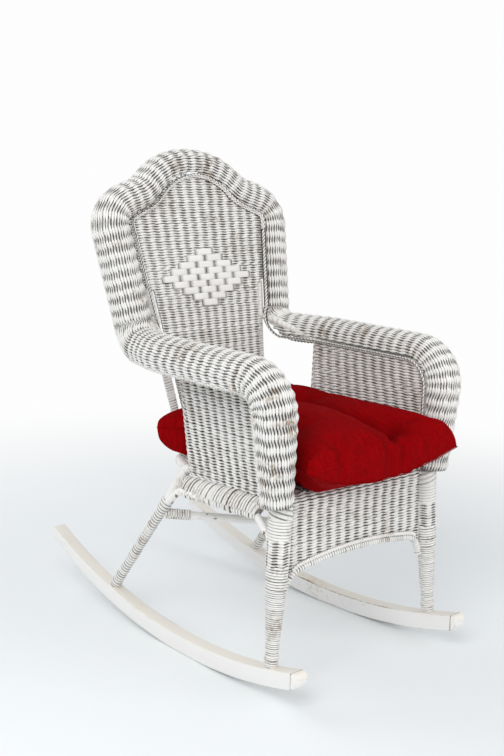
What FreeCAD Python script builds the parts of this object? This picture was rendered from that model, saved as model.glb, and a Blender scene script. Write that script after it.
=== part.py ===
import FreeCAD, Part
import math
import os

from FreeCAD import Vector

os.makedirs("parts", exist_ok=True)

# Driving dimensions in millimetres: front of the chair is -Y, the sitter's left is +X, floor is Z = 0

FIT = 0.3                       # gap between pieces that touch

# Rockers
ROCKER_LENGTH = 894.0
ROCKER_RADIUS = 1260.0          # curve of the tread
ROCKER_LOW_Y = -90.0            # where the tread meets the floor at rest
TREAD_FLAT = 100.0              # length of the tread worn flat there
ROCKER_HEIGHT = 36.0
ROCKER_TAIL_HEIGHT = 27.0       # height at the thin rear tip
ROCKER_WIDTH = 35.0
ROCKER_NOSE_RADIUS = 15.0

# Legs
FRONT_FOOT = (239.0, -357.0)
REAR_FOOT = (221.0, 200.0)
FRONT_LEG_TOP = (216.0, -345.0)
REAR_KNEE = (206.0, 34.0, 300.0)    # where the bent rear leg turns up to the seat
REAR_LEG_TOP_Y = -2.0
REAR_LEG_BEND = 150.0
FRONT_FOOT_RADIUS = 12.5
FRONT_KNEE_RADIUS = 20.5        # thickest part, under the woven sleeve
FRONT_KNEE_Z = 214.0
FRONT_CORE_RADIUS = 15.0
REAR_LEG_RADIUS = 12.0
SLEEVE_RADIUS = 25.0
SLEEVE_BOTTOM_Z = 224.0
TENON_RADIUS = 7.0
TENON_DEPTH = 22.0
TENON_SHANK = 14.0              # how far a tenon's shank runs up inside the leg
LEG_COPE = 20.0                 # leg stock below the plank's top before it is coped
BEAD_HEIGHT = 20.0              # middle of the front foot's bead above the plank
BEAD_HALF_LENGTH = 6.0
BEAD_SWELL = 2.5
KNEE_LENGTH = 8.0
KNEE_STEP = 5.0                 # shoulder from the knee down to the core
NAIL_RADIUS = 1.8
NAIL_LENGTH = 26.0
NAIL_HEAD_RADIUS = 3.6
NAIL_HEAD_HEIGHT = 1.6
NAIL_SET = 0.6                  # heads driven in below the plank's face

# Seat frame
SEAT_RAIL_Z = 386.0             # centre height of the front and rear rails
RAIL_RADIUS = 11.5
FRONT_RAIL_Y = -331.0
SIDE_RAIL_AIM = (168.0, 80.0)   # where the side rail's line in plan would lead
SIDE_RAIL_REAR_Z = 362.0        # the side rail falls to the rear leg
REAR_RAIL_HALF = 140.0          # corners of the rear rail left and right of the middle
REAR_RAIL_BEND = 34.0
REAR_RAIL_TAIL = 14.0           # its ends, past the tops of the rear legs
DECK_THICKNESS = 7.0
DECK_EDGE_INSET = 6.0           # deck edge to the centre of the side rail
DECK_END_GAP = 2.0              # deck to the apron and to the back
SLAT_WIDTH = 44.0
SLAT_THICKNESS = 9.0
SLAT_SPREAD = 62.0              # slat centres left and right of the middle

# Braces under the seat
ARCH_RADIUS = 8.5
ARCH_LEG_Z = 300.0
ARCH_BEND = 46.0
ARCH_FRONT_RUN = 74.0           # from the leg to where the arch meets the side rail
ARCH_REAR_RUN = 50.0
STRETCHER_RADIUS = 9.5
STRETCHER_REAR_Z = 296.0
STRETCHER_FRONT_Z = 268.0
STRETCHER_GAP = 0.7             # between the poles where they cross
BINDING_LENGTH = 26.0
BINDING_THICKNESS = 2.4
BINDING_SET = 16.0              # clear of the leg's skin

# Front apron
APRON_FACE_Y = -352.0
PANEL_EDGE_GAP = 1.5            # flat panel to the edge of a roll
WEAVE = 8.0                     # thickness of a flat woven panel
APRON_ARCH_RADIUS = 7.5
APRON_ARCH_CROWN_Z = 266.0
APRON_ARCH_CROWN_CURVE = 980.0
APRON_ARCH_HALF_CROWN = 165.0
APRON_ARCH_CORNER = 46.0
APRON_ARCH_LEG_ANGLE = 80.0
APRON_ARCH_TAIL = 5.0           # straight end let into the leg

# Back
BACK_BASE_Y = 58.0              # front face of the back panel at seat height
BACK_BASE_Z = 400.0
BACK_LEAN = 14.3                # degrees behind vertical
BACK_FLARE = 7.0                # degrees each side edge opens upwards
ROLL_APEX_V = 658.0             # top of the roll's centre line, measured up the back
DOME_RADIUS = 174.0
DOME_ANGLE = 45.0
VALLEY_RADIUS = 90.0
SHOULDER_SLOPE = 21.0
SHOULDER_RUN = 46.0
SHOULDER_RADIUS = 58.0
HOOP_RADIUS = 9.0
HOOP_INSET = 38.0               # hoop centre inside the roll's centre line
HOOP_LOW_V = -14.0              # foot of the hoop, measured up the back
BACK_PANEL_LOW_V = 5.0          # lower edge of the back panel
DIAMOND_WIDTH = 256.0
DIAMOND_HEIGHT = 146.0
DIAMOND_V = 372.0               # centre of the diamond up the back
DIAMOND_THICKNESS = 2.4

# Rolled collar over the arms and back
ARM_ROLL_Z = 642.0              # centre line of the arm roll
ARM_FRONT = (250.0, -350.0)     # where the arm's centre line would meet the front drop
ARM_ELBOW = (248.0, -6.0)       # where the arm turns in towards the back
ELBOW_BEND = 240.0
ROLL_FOOT = (233.0, -351.0)
ROLL_WALL = 7.0
ROLL_SET_BACK = 25.0            # roll centre behind the front face of the back panel
ARM_ROLL_RADIUS = 46.0
FOOT_ROLL_RADIUS = 34.0
SIDE_ROLL_RADIUS = 44.0
TOP_ROLL_RADIUS = 36.0
STATION_STEP = 24.0             # about how far apart the roll's sections lie
ROLL_LIP_ANGLE = -30.0          # how far the outer edge curls under
FRONT_BEND = 65.0
REAR_BEND = 60.0
BRAID_RADIUS = 5.0
BRAID_REACH = 8.0               # braid centre to the inner edge of the roll
ARM_BRAID_SIDE = 250.0          # degrees round that edge: below it on the arms
BACK_BRAID_SIDE = 140.0         # and in front of it on the back
RIM_RADIUS = 4.5

# Arms
ARM_POLE_RADIUS = 8.0
ARM_POLE_INSET = 31.0           # pole centre inside the arm's centre line
ARM_POLE_Z = 628.0
ARM_POLE_BACK_Z = 634.0
ARM_POLE_FRONT_Y = -338.0
ARM_POLE_STAND = 6.0            # pole foot behind the middle of the leg's top
ARM_POLE_ELBOW = 160.0
ARM_POLE_BEND = 48.0
PANEL_FRONT_Y = -324.0
PANEL_REAR_LOW_Y = -38.0
PANEL_REAR_TOP_Y = -20.0
PANEL_TOP_Z = 628.5
PANEL_INSET = 44.0              # centre of the panel's top inside the arm's centre line

# Loose cushion
CUSHION_FRONT_Y = -428.0
CUSHION_REAR_Y = 52.0
CUSHION_HALF_FRONT = 189.0
CUSHION_HALF_REAR = 166.0
CUSHION_EAR_HALF = 236.0        # front corners spill out before the arm rolls
CUSHION_EAR_Y = -398.0
CUSHION_THICKNESS = 116.0
CUSHION_CASE = 6.0              # padded cloth, with the light filling left out
CUSHION_EDGE_ROUND = 13.0
CUSHION_CORNER_ROUND = 14.0
TUFT_RADIUS = 9.0
TUFT_HEIGHT = 4.0
TUFT_ROUND = 2.4
TUFT_SPREAD_X = 86.0
TUFT_FRONT_Y = -270.0
TUFT_REAR_Y = -70.0

# Trimming blocks are larger than any piece they trim
SPAN = ROCKER_LENGTH / 2


# Small helpers

def rad(degrees):
    return math.radians(degrees)


def mix(a, b, share):
    return a + (b - a) * share


def line_x(start, end, y):
    """X of the plan line start-end at the given Y."""
    return mix(start[0], end[0], (y - start[1]) / (end[1] - start[1]))


def on_line(start, end, z):
    """Point of the space line start-end at the given height."""
    return start + (end - start) * ((z - start.z) / (end.z - start.z))


def flipped(vector):
    return Vector(-vector.x, vector.y, vector.z)


def mirrored(shape):
    return shape.mirror(Vector(0, 0, 0), Vector(1, 0, 0))


def ring(centre, axis, radius):
    return Part.Wire([Part.Circle(centre, axis, radius).toShape()])


def bent_wire(points, bends):
    """Polyline with its inner corners rounded to the given bend radii."""
    edges = []
    start = points[0]
    for corner, after, bend in zip(points[1:-1], points[2:], bends):
        before = (start - corner).normalize()
        ahead = (after - corner).normalize()
        half = before.getAngle(ahead) / 2
        reach = bend / math.tan(half)
        middle = (before + ahead).normalize()
        enter = corner + before * reach
        leave = corner + ahead * reach
        crown = corner + middle * (bend / math.sin(half) - bend)
        edges.append(Part.makeLine(start, enter))
        edges.append(Part.Arc(enter, crown, leave).toShape())
        start = leave
    edges.append(Part.makeLine(start, points[-1]))
    return edges


def edge_pole(edge, radius):
    """Round bar along one edge: a cylinder on a line, a piece of a torus on an arc."""
    start, end = edge.firstVertex(True).Point, edge.lastVertex(True).Point
    if isinstance(edge.Curve, Part.Line):
        return straight_pole(start, end, radius)
    circle = edge.Curve
    tangent = edge.tangentAt(edge.FirstParameter)
    face = Part.Face(ring(edge.valueAt(edge.FirstParameter), tangent, radius))
    sweep = math.degrees(edge.LastParameter - edge.FirstParameter)
    return face.revolve(circle.Center, circle.Axis, sweep)


def swept_pole(edges, radius):
    """Round bent bar along lines and arcs that run smoothly into each other."""
    bars = [edge_pole(edge, radius) for edge in edges]
    return bars[0].fuse(bars[1:]).removeSplitter()


def straight_pole(start, end, radius):
    along = end - start
    return Part.makeCylinder(radius, along.Length, start, along)


def turned(profile, base, direction):
    """Solid of revolution: profile holds (radius, height) pairs up the axis."""
    points = [Vector(0, 0, profile[0][1])]
    points += [Vector(r, 0, h) for r, h in profile]
    points += [Vector(0, 0, profile[-1][1]), points[0]]
    face = Part.Face(Part.makePolygon(points))
    body = face.revolve(Vector(0, 0, 0), Vector(0, 0, 1), 360)
    body.Placement = FreeCAD.Placement(base, FreeCAD.Rotation(Vector(0, 0, 1), direction))
    return body


def write(name, shape):
    shape.exportStep("parts/" + name + ".step")


def write_pair(name, left_shape):
    """The sitter's left side is +X; the right side is its mirror image."""
    write(name + "_left", left_shape)
    write(name + "_right", mirrored(left_shape))


# Rocker: a bent plank, its tread an arc worn flat at the low point, its tail thinner than its nose

def tread_z(y):
    worn = TREAD_FLAT / 2
    off = max(abs(y - ROCKER_LOW_Y), worn)
    return math.sqrt(ROCKER_RADIUS ** 2 - worn ** 2) - math.sqrt(ROCKER_RADIUS ** 2 - off ** 2)


def rocker_height(y):
    """Height over the tread: full over the front half, thinning to the tail."""
    tail = max(0.0, y) / (ROCKER_LENGTH / 2)
    return mix(ROCKER_HEIGHT, ROCKER_TAIL_HEIGHT, tail ** 2)


def rocker_blank(slack):
    """The plank grown by slack on every side, centred on X = 0."""
    front = -ROCKER_LENGTH / 2
    rear = ROCKER_LENGTH / 2
    worn = [ROCKER_LOW_Y - TREAD_FLAT / 2, ROCKER_LOW_Y + TREAD_FLAT / 2]
    fore, aft = [[Vector(0, y, tread_z(y) - slack) for y in (a, (a + b) / 2, b)]
                 for a, b in ((front, worn[0]), (worn[1], rear))]
    top = [Vector(0, y, tread_z(y) + rocker_height(y) + slack) for y in (front, ROCKER_LOW_Y, rear)]
    outline = Part.Wire([
        Part.Arc(*fore).toShape(),
        Part.makeLine(fore[2], aft[0]),
        Part.Arc(*aft).toShape(),
        Part.makeLine(aft[2], top[2]),
        Part.Arc(top[2], top[1], top[0]).toShape(),
        Part.makeLine(top[0], fore[0]),
    ])
    plank = Part.Face(outline).extrude(Vector(ROCKER_WIDTH + 2 * slack, 0, 0))
    plank.translate(Vector(-ROCKER_WIDTH / 2 - slack, 0, 0))
    return plank


ROCKER_TURN = math.degrees(math.atan2(FRONT_FOOT[0] - REAR_FOOT[0], REAR_FOOT[1] - FRONT_FOOT[1]))
ROCKER_MID_X = line_x(FRONT_FOOT, REAR_FOOT, 0.0)


def place_rocker(shape):
    shape.rotate(Vector(0, 0, 0), Vector(0, 0, 1), ROCKER_TURN)
    shape.translate(Vector(ROCKER_MID_X, 0, 0))
    return shape


def rocker_top(y):
    """Height of the plank's upper face, from the arc through nose, middle and tail."""
    probe = Part.makeLine(Vector(0, y, 0), Vector(0, y, SPAN))
    return rocker_blank(0.0).common(probe).BoundBox.ZMax


def foot_point(foot):
    return Vector(foot[0], foot[1], rocker_top(foot[1]))


FRONT_SEAT = foot_point(FRONT_FOOT)
REAR_SEAT = foot_point(REAR_FOOT)
FRONT_TOP = Vector(FRONT_LEG_TOP[0], FRONT_LEG_TOP[1], SEAT_RAIL_Z + RAIL_RADIUS)
KNEE = Vector(*REAR_KNEE)
SIDE_RAIL_FRONT = Vector(FRONT_LEG_TOP[0], FRONT_LEG_TOP[1], SEAT_RAIL_Z)


def rail_x(y):
    return line_x(FRONT_LEG_TOP, SIDE_RAIL_AIM, y)


REAR_TOP = Vector(rail_x(REAR_LEG_TOP_Y), REAR_LEG_TOP_Y, SEAT_RAIL_Z)
SIDE_RAIL_REAR = on_line(KNEE, REAR_TOP, SIDE_RAIL_REAR_Z)


def rail_z(y):
    """Height of the side rail's centre."""
    start, end = SIDE_RAIL_FRONT, SIDE_RAIL_REAR
    return mix(start.z, end.z, (y - start.y) / (end.y - start.y))


def leg_axis(seat, top):
    return (top - seat).normalize()


def tenon(seat, top, slack):
    axis = leg_axis(seat, top)
    start = seat - axis * (TENON_DEPTH + slack)
    return Part.makeCylinder(TENON_RADIUS + slack, TENON_DEPTH + slack + TENON_SHANK, start, axis)


def nail_shapes(slack, sunk):
    """Nails driven from the outer side through each tenon, with the head's end sunk below the face."""
    face = ROCKER_WIDTH / 2
    point, neck = face - NAIL_LENGTH - slack, face - NAIL_SET - NAIL_HEAD_HEIGHT - slack
    nails = []
    for seat in (FRONT_SEAT, REAR_SEAT):
        middle = Vector(seat.x, seat.y, seat.z - TENON_DEPTH / 2)
        shank = Part.makeCylinder(NAIL_RADIUS + slack, neck - point,
                                  middle + Vector(point, 0, 0), Vector(1, 0, 0))
        head = Part.makeCylinder(NAIL_HEAD_RADIUS + slack, face - sunk + slack - neck,
                                 middle + Vector(neck, 0, 0), Vector(1, 0, 0))
        nail = shank.fuse(head).removeSplitter()
        nail.rotate(middle, Vector(0, 0, 1), ROCKER_TURN)
        nails.append(nail)
    return nails


def rocker():
    plank = rocker_blank(0.0)
    front = [e for e in plank.Edges if e.BoundBox.YMax < -ROCKER_LENGTH / 2 + 1]
    nose = [e for e in front if e.BoundBox.XLength > 1]
    plank = plank.makeFillet(ROCKER_NOSE_RADIUS, nose)
    plank = place_rocker(plank)
    sockets = [tenon(FRONT_SEAT, FRONT_TOP, FIT), tenon(REAR_SEAT, KNEE, FIT)]
    return plank.cut(sockets + nail_shapes(FIT, 0.0))


# Legs: wound poles tapering to the rocker, tenoned into it

def footed(body, seat, toward):
    """Fit a leg to the rocker: its foot coped to the plank, with a nailed tenon below."""
    body = body.cut([place_rocker(rocker_blank(FIT))])
    body = body.fuse(tenon(seat, toward, 0.0)).removeSplitter()
    return body.cut(nail_shapes(FIT, 0.0))


def leg_block(low_z, height):
    """Level block round the front leg's top, for trimming."""
    corner = Vector(FRONT_TOP.x - SPAN / 2, FRONT_TOP.y - SPAN / 2, low_z)
    return Part.makeBox(SPAN, SPAN, height, corner)


def front_leg():
    axis = leg_axis(FRONT_SEAT, FRONT_TOP)
    length = (FRONT_TOP - FRONT_SEAT).Length + 3 * LEG_COPE
    knee = FRONT_KNEE_Z - FRONT_SEAT.z + LEG_COPE
    bead = BEAD_HEIGHT + LEG_COPE
    profile = [(FRONT_FOOT_RADIUS, 0),
               (FRONT_FOOT_RADIUS, bead - BEAD_HALF_LENGTH),
               (FRONT_FOOT_RADIUS + BEAD_SWELL, bead),
               (FRONT_FOOT_RADIUS, bead + BEAD_HALF_LENGTH),
               (FRONT_KNEE_RADIUS, knee - KNEE_LENGTH),
               (FRONT_KNEE_RADIUS, knee),
               (FRONT_CORE_RADIUS, knee + KNEE_STEP),
               (FRONT_CORE_RADIUS, length)]
    body = turned(profile, FRONT_SEAT - axis * LEG_COPE, axis)
    return footed(body.cut([leg_block(FRONT_TOP.z, SPAN)]), FRONT_SEAT, FRONT_TOP)


def rear_leg_solid(slack):
    """Pole bent at the knee, from below the rocker's top to the middle of the side rail."""
    foot = REAR_SEAT - leg_axis(REAR_SEAT, KNEE) * LEG_COPE
    return swept_pole(bent_wire([foot, KNEE, REAR_TOP], [REAR_LEG_BEND]), REAR_LEG_RADIUS + slack)


def rear_leg():
    return footed(rear_leg_solid(0.0).cut([rear_rail_solid(FIT)]), REAR_SEAT, KNEE)


def front_leg_room():
    """Space taken by the front leg's straight upper core, with its fitting gap."""
    low = on_line(FRONT_SEAT, FRONT_TOP, FRONT_KNEE_Z)
    high = on_line(FRONT_SEAT, FRONT_TOP, FRONT_TOP.z + LEG_COPE)
    return straight_pole(low, high, FRONT_CORE_RADIUS + FIT)


def sleeve_solid(slack):
    """Round sleeve on the leg's axis, cut level at both ends."""
    low = on_line(FRONT_SEAT, FRONT_TOP, SLEEVE_BOTTOM_Z - LEG_COPE)
    high = on_line(FRONT_SEAT, FRONT_TOP, FRONT_TOP.z + LEG_COPE)
    tube = straight_pole(low, high, SLEEVE_RADIUS + slack)
    return tube.common(leg_block(SLEEVE_BOTTOM_Z, FRONT_TOP.z - SLEEVE_BOTTOM_Z))


def leg_sleeve():
    return sleeve_solid(0.0).cut([front_leg_room()])


# Seat frame: side rails between the legs, a front rail, a bent rear rail and a woven deck on slats

def side_rail_solid(slack):
    return straight_pole(SIDE_RAIL_FRONT, SIDE_RAIL_REAR, RAIL_RADIUS + slack)


def side_rail():
    return side_rail_solid(0.0).cut([sleeve_solid(FIT), rear_leg_solid(FIT)])


def front_rail_solid(slack):
    start = Vector(-SIDE_RAIL_FRONT.x, FRONT_RAIL_Y, SEAT_RAIL_Z)
    return straight_pole(start, flipped(start), RAIL_RADIUS + slack)


def rear_rail_solid(slack):
    """Pole behind the seat, bent forward at both ends to the tops of the rear legs."""
    corner = Vector(REAR_RAIL_HALF, REAR_RAIL_Y, SEAT_RAIL_Z)
    tip = REAR_TOP + (REAR_TOP - corner).normalize() * REAR_RAIL_TAIL
    points = [tip, corner, flipped(corner), flipped(tip)]
    return swept_pole(bent_wire(points, [REAR_RAIL_BEND, REAR_RAIL_BEND]), RAIL_RADIUS + slack)


def both_sides(shapes):
    return list(shapes) + [mirrored(s) for s in shapes]


def front_rail():
    return front_rail_solid(0.0).cut(both_sides([sleeve_solid(FIT), side_rail_solid(FIT)])).Solids[0]


RAIL_TOP_Z = SEAT_RAIL_Z + RAIL_RADIUS
REAR_RAIL_Y = BACK_BASE_Y + (WEAVE + FIT + HOOP_RADIUS) * math.cos(rad(BACK_LEAN))
DECK_TOP_Z = RAIL_TOP_Z + FIT + DECK_THICKNESS


def seat_deck():
    front = APRON_FACE_Y + WEAVE + DECK_END_GAP
    rear = BACK_BASE_Y - DECK_END_GAP
    rear_x = line_x((REAR_TOP.x, REAR_TOP.y), (REAR_RAIL_HALF, REAR_RAIL_Y), rear)
    corners = [(rail_x(y) - DECK_EDGE_INSET, y) for y in (front, REAR_TOP.y)] + [(rear_x, rear)]
    outline = corners + [(-x, y) for x, y in reversed(corners)]
    points = [Vector(x, y, RAIL_TOP_Z + FIT) for x, y in outline]
    deck = Part.Face(Part.makePolygon(points + points[:1])).extrude(Vector(0, 0, DECK_THICKNESS))
    stops = [side_panel_solid(FIT), sleeve_solid(FIT), arm_pole_solid(FIT)]
    stops += [braid(arm_stations(), FIT)]
    return max(deck.cut(both_sides(stops)).Solids, key=lambda s: s.Volume)


def seat_slats():
    """Flat bars under the deck, their ends let onto the front and rear rails."""
    slats = []
    for x in (-SLAT_SPREAD, SLAT_SPREAD):
        length = REAR_RAIL_Y - FRONT_RAIL_Y
        bar = Part.makeBox(SLAT_WIDTH, length, SLAT_THICKNESS,
                           Vector(x - SLAT_WIDTH / 2, FRONT_RAIL_Y, RAIL_TOP_Z - SLAT_THICKNESS))
        pieces = bar.cut([front_rail_solid(FIT), rear_rail_solid(FIT)]).Solids
        slats.append(max(pieces, key=lambda s: s.Volume))
    return Part.makeCompound(slats)


# Braces: an arched pole below each side rail and two crossed stretchers

def arch_wire():
    """From leg to leg, close under the side rail between its two haunches."""
    front = on_line(FRONT_SEAT, FRONT_TOP, ARCH_LEG_Z)
    rear = on_line(REAR_SEAT, KNEE, ARCH_LEG_Z)
    haunches = []
    for y in (front.y + ARCH_FRONT_RUN, rear.y - ARCH_REAR_RUN):
        crown = rail_z(y) - RAIL_RADIUS - ARCH_RADIUS - FIT
        haunches.append(Vector(line_x((front.x, front.y), (rear.x, rear.y), y), y, crown))
    return bent_wire([front, *haunches, rear], [ARCH_BEND, ARCH_BEND])


def side_arch():
    return swept_pole(arch_wire(), ARCH_RADIUS).cut([sleeve_solid(FIT), rear_leg_solid(FIT)])


def stretcher_ends(drop):
    rear = on_line(REAR_SEAT, KNEE, STRETCHER_REAR_Z - drop)
    front = on_line(FRONT_SEAT, FRONT_TOP, STRETCHER_FRONT_Z - drop)
    return rear, Vector(-front.x, front.y, front.z)


STRETCHER_DROP = 2 * STRETCHER_RADIUS + STRETCHER_GAP


def stretcher_room(slack):
    rear, front = stretcher_ends(0.0)
    lower_rear, lower_front = stretcher_ends(STRETCHER_DROP)
    upper = straight_pole(rear, front, STRETCHER_RADIUS + slack)
    lower = straight_pole(lower_rear, lower_front, STRETCHER_RADIUS + slack)
    return [upper, mirrored(lower)]


def stretchers():
    """Upper pole runs from the left rear leg to the right front leg, lower pole the other way."""
    arch = swept_pole(arch_wire(), ARCH_RADIUS + FIT)
    stops = both_sides([sleeve_solid(FIT), rear_leg_solid(FIT), arch])
    poles = [pole.cut(stops) for pole in stretcher_room(0.0)]
    return [max(pole.Solids, key=lambda s: s.Volume) for pole in poles]


def binding(start, end, distance, radius):
    along = (end - start).normalize()
    low = start + along * distance
    high = low + along * BINDING_LENGTH
    outer = straight_pole(low, high, radius + FIT + BINDING_THICKNESS)
    return outer.cut(straight_pole(low - along, high + along, radius + FIT))


def joint_bindings():
    """Cane windings on the stretchers' rear ends and at their front ends."""
    rings = []
    for drop, flip in ((0.0, False), (STRETCHER_DROP, True)):
        rear, front = stretcher_ends(drop)
        spots = [(rear, front, REAR_LEG_RADIUS + BINDING_SET), (front, rear, SLEEVE_RADIUS + BINDING_SET)]
        for start, end, distance in spots:
            wound = binding(start, end, distance, STRETCHER_RADIUS)
            rings.append(mirrored(wound) if flip else wound)
    return Part.makeCompound(rings)


# Front apron: woven panel over a low arched pole between the front legs

def apron_arch_wire():
    lean = math.asin(APRON_ARCH_HALF_CROWN / APRON_ARCH_CROWN_CURVE)
    fall = APRON_ARCH_CROWN_CURVE * (1 - math.cos(lean))
    steep = rad(APRON_ARCH_LEG_ANGLE)
    bend = APRON_ARCH_CORNER

    def corner(angle):
        x = APRON_ARCH_HALF_CROWN + bend * (math.sin(angle) - math.sin(lean))
        z = APRON_ARCH_CROWN_Z - fall - bend * (math.cos(lean) - math.cos(angle))
        return Vector(x, APRON_FACE_Y + WEAVE / 2, z)

    left = [corner(steep), corner((steep + lean) / 2), corner(lean)]
    right = [flipped(p) for p in reversed(left)]
    crown = Vector(0, APRON_FACE_Y + WEAVE / 2, APRON_ARCH_CROWN_Z)
    end = left[0] + Vector(math.cos(steep), 0, -math.sin(steep)) * APRON_ARCH_TAIL
    return [
        Part.makeLine(end, left[0]),
        Part.Arc(left[0], left[1], left[2]).toShape(),
        Part.Arc(left[2], crown, right[0]).toShape(),
        Part.Arc(right[0], right[1], right[2]).toShape(),
        Part.makeLine(right[2], flipped(end)),
    ]


def knee_room():
    """Space of the thick knee of the front leg below the sleeve."""
    low = on_line(FRONT_SEAT, FRONT_TOP, FRONT_KNEE_Z - 3 * LEG_COPE)
    high = on_line(FRONT_SEAT, FRONT_TOP, SLEEVE_BOTTOM_Z + 1)
    return straight_pole(low, high, FRONT_KNEE_RADIUS + FIT)


def apron_arch():
    pole = swept_pole(apron_arch_wire(), APRON_ARCH_RADIUS)
    pole = pole.cut(both_sides([knee_room(), sleeve_solid(FIT)]))
    return max(pole.Solids, key=lambda s: s.Volume)


def apron_panel():
    half = SIDE_RAIL_FRONT.x
    edges = apron_arch_wire()
    corner = Vector(-half, APRON_FACE_Y, FRONT_KNEE_Z)
    sheet = Part.makeBox(2 * half, WEAVE, RAIL_TOP_Z - FRONT_KNEE_Z, corner)
    end = edges[0].firstVertex(True).Point
    below = Part.Wire(edges + [Part.makeLine(flipped(end), end)])
    opening = Part.Face(below).extrude(Vector(0, 4 * WEAVE, 0))
    opening.translate(Vector(0, -2 * WEAVE, 0))
    stops = [opening, swept_pole(edges, APRON_ARCH_RADIUS + FIT)]
    stops += both_sides([sleeve_solid(FIT), side_rail_solid(FIT), knee_room()])
    stops += [front_rail_solid(FIT)]
    return max(sheet.cut(stops).Solids, key=lambda s: s.Volume)


# Back: local axes u across, v up the leaning face, n out of its front

LEAN = rad(BACK_LEAN)
BACK_V = Vector(0, math.sin(LEAN), math.cos(LEAN))
BACK_N = Vector(0, -math.cos(LEAN), math.sin(LEAN))
BACK_U = Vector(1, 0, 0)
BACK_ORIGIN = Vector(0, BACK_BASE_Y, BACK_BASE_Z)


def back_point(u, v, n):
    return BACK_ORIGIN + BACK_U * u + BACK_V * v + BACK_N * n


def ogee_turns(inset):
    """Half arch from the apex outwards: (kind, radius or length, heading from, heading to)."""
    side = 90.0 + BACK_FLARE
    return [("arc", DOME_RADIUS - inset, 0.0, DOME_ANGLE),
            ("bay", VALLEY_RADIUS + inset, DOME_ANGLE, SHOULDER_SLOPE),
            ("run", SHOULDER_RUN, SHOULDER_SLOPE, SHOULDER_SLOPE),
            ("arc", SHOULDER_RADIUS - inset, SHOULDER_SLOPE, side)]


def turn_point(start, kind, size, begin, heading):
    """Point on one stretch of the arch where it has turned to the given heading below level."""
    u, v = start
    a, b = rad(begin), rad(heading)
    if kind == "run":
        return (u + size * math.cos(a), v - size * math.sin(a))
    sign = 1.0 if kind == "arc" else -1.0
    across = sign * size * (math.sin(b) - math.sin(a))
    return (u + across, v - sign * size * (math.cos(a) - math.cos(b)))


def ogee_stretches(inset):
    """Each stretch of the half arch with the point where it starts, apex first."""
    start = (0.0, ROLL_APEX_V - inset)
    rows = []
    for kind, size, begin, end in ogee_turns(inset):
        rows.append((start, kind, size, begin, end))
        start = turn_point(start, kind, size, begin, end)
    return rows, start


def side_u(corner, v):
    """Side line falling from the shoulder at the flare angle."""
    return corner[0] - (corner[1] - v) * math.tan(rad(BACK_FLARE))


SHOULDER = ogee_stretches(0.0)[1]
ARM_V = (ARM_ROLL_Z - BACK_BASE_Z + ROLL_SET_BACK * math.sin(LEAN)) / math.cos(LEAN)
ARM_BACK = back_point(side_u(SHOULDER, ARM_V), ARM_V, -ROLL_SET_BACK)


def hoop_wire(n, low_v):
    """Bent pole's centre line: up one side, over the arch and down the other."""
    rows, corner = ogee_stretches(HOOP_INSET)
    edges = []
    foot = back_point(side_u(corner, low_v), low_v, n)
    for start, kind, size, begin, end in rows:
        middle = (begin + end) / 2
        stops = [turn_point(start, kind, size, begin, heading) for heading in (middle, end)]
        points = [back_point(u, v, n) for u, v in [start] + stops]
        if kind == "run":
            edges.append(Part.makeLine(points[0], points[2]))
        else:
            edges.append(Part.Arc(points[0], points[1], points[2]).toShape())
    edges.append(Part.makeLine(back_point(corner[0], corner[1], n), foot))
    return edges + [mirrored(edge) for edge in edges]


HOOP_N = -WEAVE - HOOP_RADIUS - FIT


def hoop_solid(slack):
    return swept_pole(hoop_wire(HOOP_N, HOOP_LOW_V), HOOP_RADIUS + slack)


def back_hoop():
    under = Part.makeBox(2 * SPAN, SPAN, SPAN, Vector(-SPAN, 0, SEAT_RAIL_Z - SPAN))
    hoop = hoop_solid(0.0).cut([rear_rail_solid(FIT), under])
    return max(hoop.Solids, key=lambda s: s.Volume)


# Rolled collar: one half-round woven shell from the front of an arm, up the back and over the top

class Station:
    """One cross-section of the collar: its centre, frame and size."""

    def __init__(self, centre, tangent, outward, radius, set_back, blend):
        self.centre = centre
        self.tangent = Vector(tangent).normalize()
        outward = outward - self.tangent * outward.dot(self.tangent)
        self.outward = outward.normalize()
        self.normal = self.outward.cross(self.tangent)
        self.radius = radius
        self.start = 180.0 - math.degrees(math.asin(set_back / radius))
        self.blend = blend

    def at(self, o, n):
        return self.centre + self.outward * o + self.normal * n

    def polar(self, radius, angle):
        return self.at(radius * math.cos(rad(angle)), radius * math.sin(rad(angle)))

    def shell_wire(self):
        inner = self.radius - ROLL_WALL
        middle = (self.start + ROLL_LIP_ANGLE) / 2
        outer_arc = [self.polar(self.radius, a) for a in (self.start, middle, ROLL_LIP_ANGLE)]
        inner_arc = [self.polar(inner, a) for a in (ROLL_LIP_ANGLE, middle, self.start)]
        return Part.Wire([
            Part.Arc(*outer_arc).toShape(),
            Part.makeLine(outer_arc[2], inner_arc[0]),
            Part.Arc(*inner_arc).toShape(),
            Part.makeLine(inner_arc[2], outer_arc[0]),
        ])

    def braid_centre(self):
        start = rad(self.start)
        side = rad(mix(ARM_BRAID_SIDE, BACK_BRAID_SIDE, self.blend))
        o = self.radius * math.cos(start) + BRAID_REACH * math.cos(side)
        n = self.radius * math.sin(start) + BRAID_REACH * math.sin(side)
        return self.at(o, n)

    def rim_centre(self):
        middle = self.radius - ROLL_WALL / 2
        angle = rad(ROLL_LIP_ANGLE) - (RIM_RADIUS + FIT) / middle
        return self.at(middle * math.cos(angle), middle * math.sin(angle))

    def panel_edge(self):
        """Where a flat panel meets the roll: just inside its inner edge."""
        edge = self.polar(self.radius, self.start)
        return edge - self.outward * PANEL_EDGE_GAP


def even_steps(length):
    """Number of sections along a stretch, so that they lie about evenly."""
    return max(2, round(length / STATION_STEP))


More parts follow.
